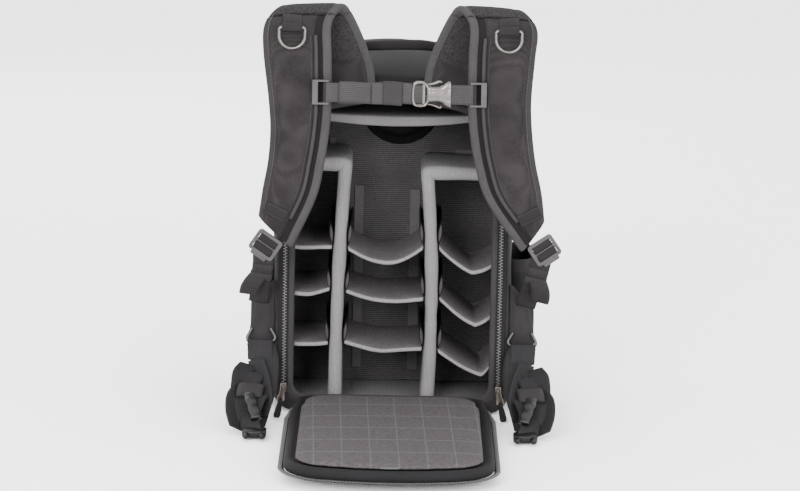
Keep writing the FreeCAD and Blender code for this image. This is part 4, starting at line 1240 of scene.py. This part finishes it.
def bar_path(v):
    centre = Vector((34.2, -175.0, chest_z - 13.5 + 27 * v)) * mm
    return centre, Vector((1, 0, 0)) * mm, Vector((0, 1, 0)) * mm


make("plug_bar", sweep(oval(2.2, 4.6, 12, 2.6), 8, bar_path), (nickel,), "sternum_half_left")
barrel_runs = [(38.6, 7.0, 3.0), (39.4, 9.6, 3.9), (41.5, 10.6, 4.3), (45, 10.2, 4.0), (45.6, 10.0, 4.4),
               (54.8, 9.8, 4.4), (55.4, 10.4, 4.1), (58.5, 11.6, 4.2), (61.5, 14.4, 4.2), (64.5, 16.6, 4.0),
               (67.4, 16.9, 3.7), (68.6, 15.8, 2.8)]


def barrel_path(v):
    x, tall, deep = barrel_runs[round(v * (len(barrel_runs) - 1))]
    return Vector((x, -174.6, chest_z)) * mm, Vector((0, 0, tall)) * mm, Vector((0, -deep, 0)) * mm


fluted = []
for a, b in oval(1, 2, 48, 3.0):
    groove = 0.07 * math.exp(-((abs(a) - 0.42) / 0.07) ** 2) if b > 0 else 0.0
    fluted.append((a, b * (1 - groove * 1.8)))
soften(make("buckle_barrel", sweep(fluted, len(barrel_runs) - 1, barrel_path), (nickel,),
            "sternum_half_right", ("buckle_socket",)))
for label, sign in (("upper", 1), ("lower", -1)):
    prong_line = [(39.5, -174.8, chest_z + sign * 12.4), (44, -174.8, chest_z + sign * 12.9),
                  (49.5, -174.8, chest_z + sign * 14.6), (54.2, -174.8, chest_z + sign * 16.4),
                  (56.4, -174.8, chest_z + sign * 15.0)]

    def prong_path(v, line=prong_line):
        here = smooth_line(line, v)
        way = (smooth_line(line, min(1, v + 0.05)) - smooth_line(line, max(0, v - 0.05))).normalized()
        swell = 0.75 + 0.5 * math.sin(math.pi * min(1, v * 1.05)) * v
        return here * mm, way.cross(Vector((0, 1, 0))) * (swell * mm), Vector((0, 1, 0)) * mm

    make("buckle_prong_arm_" + label, sweep(oval(1.5, 4.8, 10, 2.6), 16, prong_path), (nickel,),
         "prong_" + label, ("buckle_prong_" + label,))


# The straps' lower ends: ladder locks with webbing wound over their bars, the load webbing up from
# the gussets, and each long tail folded in a roll with a keeper and a loose stitched end.
lock_places = {-1: -160.5, 1: 190.0}
for side, sign in (("left", -1), ("right", 1)):
    lock = Vector((lock_places[sign], -158, 231))
    anchor = Vector((sign * 171.0, -95, 146))
    way = (lock - anchor).normalized()
    across = way.cross(Vector((0, 1, 0))).normalized()
    facing = way.cross(across).normalized()
    facing = -facing if facing.y > 0 else facing
    lean = math.radians(34.5)
    lock_across = Vector((math.cos(lean), 0, math.sin(lean) * sign))
    lock_down = Vector((math.sin(lean) * sign, 0, -math.cos(lean)))

    def spot(down, lift, aside=0.0):
        """A place on the hanging tail: down from the lock, lifted off it, aside to the outside."""
        outside = 1 if across.x * sign > 0 else -1
        return tuple(lock - way * down + facing * lift + across * (aside * outside))

    span = (lock - anchor).length
    load = webbing("load_web_" + side, [tuple(anchor - way * 3), tuple(anchor + way * span * 0.35 + facing),
                                        tuple(anchor + way * span * 0.7),
                                        tuple(lock - way * 9 - facing * 2)], tuple(across), 12.5, 1.7,
                   strap_webbing, None, ("load_webbing_" + side,), 30)
    (lock - way * 12) * mm
    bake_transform(load)
    for k, down in enumerate((-5.6, 5.2)):
        centre = lock + lock_down * down - Vector((0, 2.4, 0))

        def roll_on_bar(v, centre=centre, lock_across=lock_across, lock_down=lock_down):
            return (centre + lock_across * (25 * v - 12.5)) * mm, lock_down * mm, Vector((0, -1, 0)) * mm

        make("lock_webbing_%s_%d" % (side, k + 1), sweep(oval(5.3, 10.5, 16, 2.4), 10, roll_on_bar),
             (strap_webbing,), "harness")
    folds = {
        "top": ([spot(12, 1), spot(17, 7.5), spot(25, 9.5), spot(31, 6.0), spot(27, 2.5)], 12.8, 2.2),
        "roll": ([spot(24, 3), spot(29, 10.5), spot(38, 11.5), spot(44, 7.5), spot(38, 3.5)], 13.2, 2.4),
        "long": ([spot(30, 2.4), spot(50, 3.4), spot(66, 3.0), spot(80, 2.0)], 12.4, 1.7),
        "keeper": ([spot(46, 5.2, 0.5), spot(52, 6.6, 0.5), spot(59, 5.4, 0.5)], 14.0, 4.8),
        "end": ([spot(50, 6, 3), spot(60, 10, 9), spot(72, 11, 12.5), spot(86, 9.5, 13.5)], 12.2, 2.8),
    }
    for fold, (points, half, thick) in folds.items():
        webbing("tail_%s_%s" % (fold, side), points, tuple(across), half, thick,
                keeper_web if fold == "keeper" else strap_webbing, "harness",
                ("webbing_tail_" + side,) if fold == "long" else (), 18)


# The waist belt's ends: a wide strap from a wire ring on each gusset down to the floor, its spare
# folded in a bundle under a keeper, with half of the belt's buckle at the end.
ring_metal = brushed("ring_gunmetal", (112, 110, 112), 0.4)
dress(ring_metal, "belt_rings")
smoke = Finish("smoky_plastic", (30, 29, 30), 0.4, specular_ior_level=0.3)
smoke.feed("Roughness", smoke.cloud(120.0) * 0.25 + 0.3)
black_plastic = Finish("black_plastic", (20, 19, 20), 0.42, specular_ior_level=0.2)
black_plastic.feed("Roughness", black_plastic.cloud(300.0) * 0.2 + 0.32)
for side, sign in (("left", -1), ("right", 1)):
    pin = Vector((sign * 167.0, -100, 94))
    body = "belt_" + side

    def hang(dx, dy, dz):
        return tuple(pin + Vector((sign * dx, dy, dz)))

    turned = [(1, 0, 0.05 * sign), (1, -0.1 * sign, 0.1), (1, -0.35 * sign, 0), (1, -0.3 * sign, 0)]
    webbing("belt_strap_" + side, [hang(0, -1.5, -2), hang(-6, -14, -22), hang(-6, -44, -50),
                                   hang(2, -84, -76), hang(6, -112, -86)], turned, 17.5, 2.4, belt_web,
            body, ("belt_webbing_" + side,), 34)
    webbing("belt_wrap_" + side, [hang(2, 2.5, -7), hang(1, -4.2, 1.5), hang(1, -7.5, -9),
                                  hang(0, -14, -22)], (1, 0, 0), 16, 2.0, belt_web, body, (), 24)
    layers = (
        ([(14, -26, -26), (22, -44, -34), (24, -70, -56), (27, -94, -76)], 14.0, 2.6, 0.9),
        ([(8, -34, -34), (16, -58, -46), (20, -84, -60), (14, -108, -82)], 16.0, 2.4, 0.2),
        ([(18, -50, -44), (30, -78, -54), (31, -104, -70), (25, -124, -85)], 12.0, 2.4, 1.3),
        ([(0, -66, -58), (6, -90, -66), (9, -116, -78), (3, -136, -88)], 13.5, 2.4, -0.5),
        ([(6, -20, -20), (-4, -40, -44), (-8, -66, -64), (-4, -88, -80)], 12.0, 2.2, -0.9),
    )
    for k, (points, half, thick, twist) in enumerate(layers):
        webbing("belt_fold_%s_%d" % (side, k + 1), [hang(*q) for q in points],
                (1, -twist * sign * 0.6, twist * 0.5 * sign), half, thick, belt_web, body, (), 22)
    webbing("belt_keeper_" + side, [hang(9, -60, -44), hang(11, -68, -50), hang(12, -76, -57)],
            (1, -0.5 * sign, 0.2 * sign), 18, 8, keeper_web, body, (), 10)
    smoke_line = [hang(11, -90, -49), hang(9, -98, -54), hang(6, -106, -60), hang(3, -114, -67),
                  hang(0, -122, -74)]

    def barrel(v, line=smoke_line):
        here = smooth_line(line, v)
        way = (smooth_line(line, min(1, v + 0.05)) - smooth_line(line, max(0, v - 0.05))).normalized()
        side_way = way.cross(Vector((0, 0, 1))).normalized()
        wide = 7.8 + 0.9 * math.cos(6 * math.pi * v) - 2.8 * (v < 0.02 or v > 0.98)
        return here * mm, side_way * (wide * mm), side_way.cross(way) * (wide * 0.62 * mm)

    soften(make("belt_buckle_barrel_" + side, sweep(oval(1, 2, 16, 2.6), 14, barrel), (smoke,), body))
    tip = Vector(hang(2, -136, -88))
    base_block = bmesh.new()
    for dx, dy, wide, long, tall in ((0, 0, 15, 12, 4.6), (-10, -14, 3.2, 9, 3.4), (10, -14, 3.2, 9, 3.4)):
        bar(base_block, (tip + Vector((dx, dy, 5.0 - 4))) * mm, Vector((wide, 0, 0)) * mm,
            Vector((0, long, 0)) * mm, Vector((0, 0, tall)) * mm)
    bmesh.ops.bevel(base_block, geom=base_block.edges[:], offset=2.2 * mm, segments=3, affect="EDGES",
                    profile=0.5, material=-1)
    make("belt_plug_" + side, base_block, (black_plastic,), body, ("belt_buckle_" + side,))
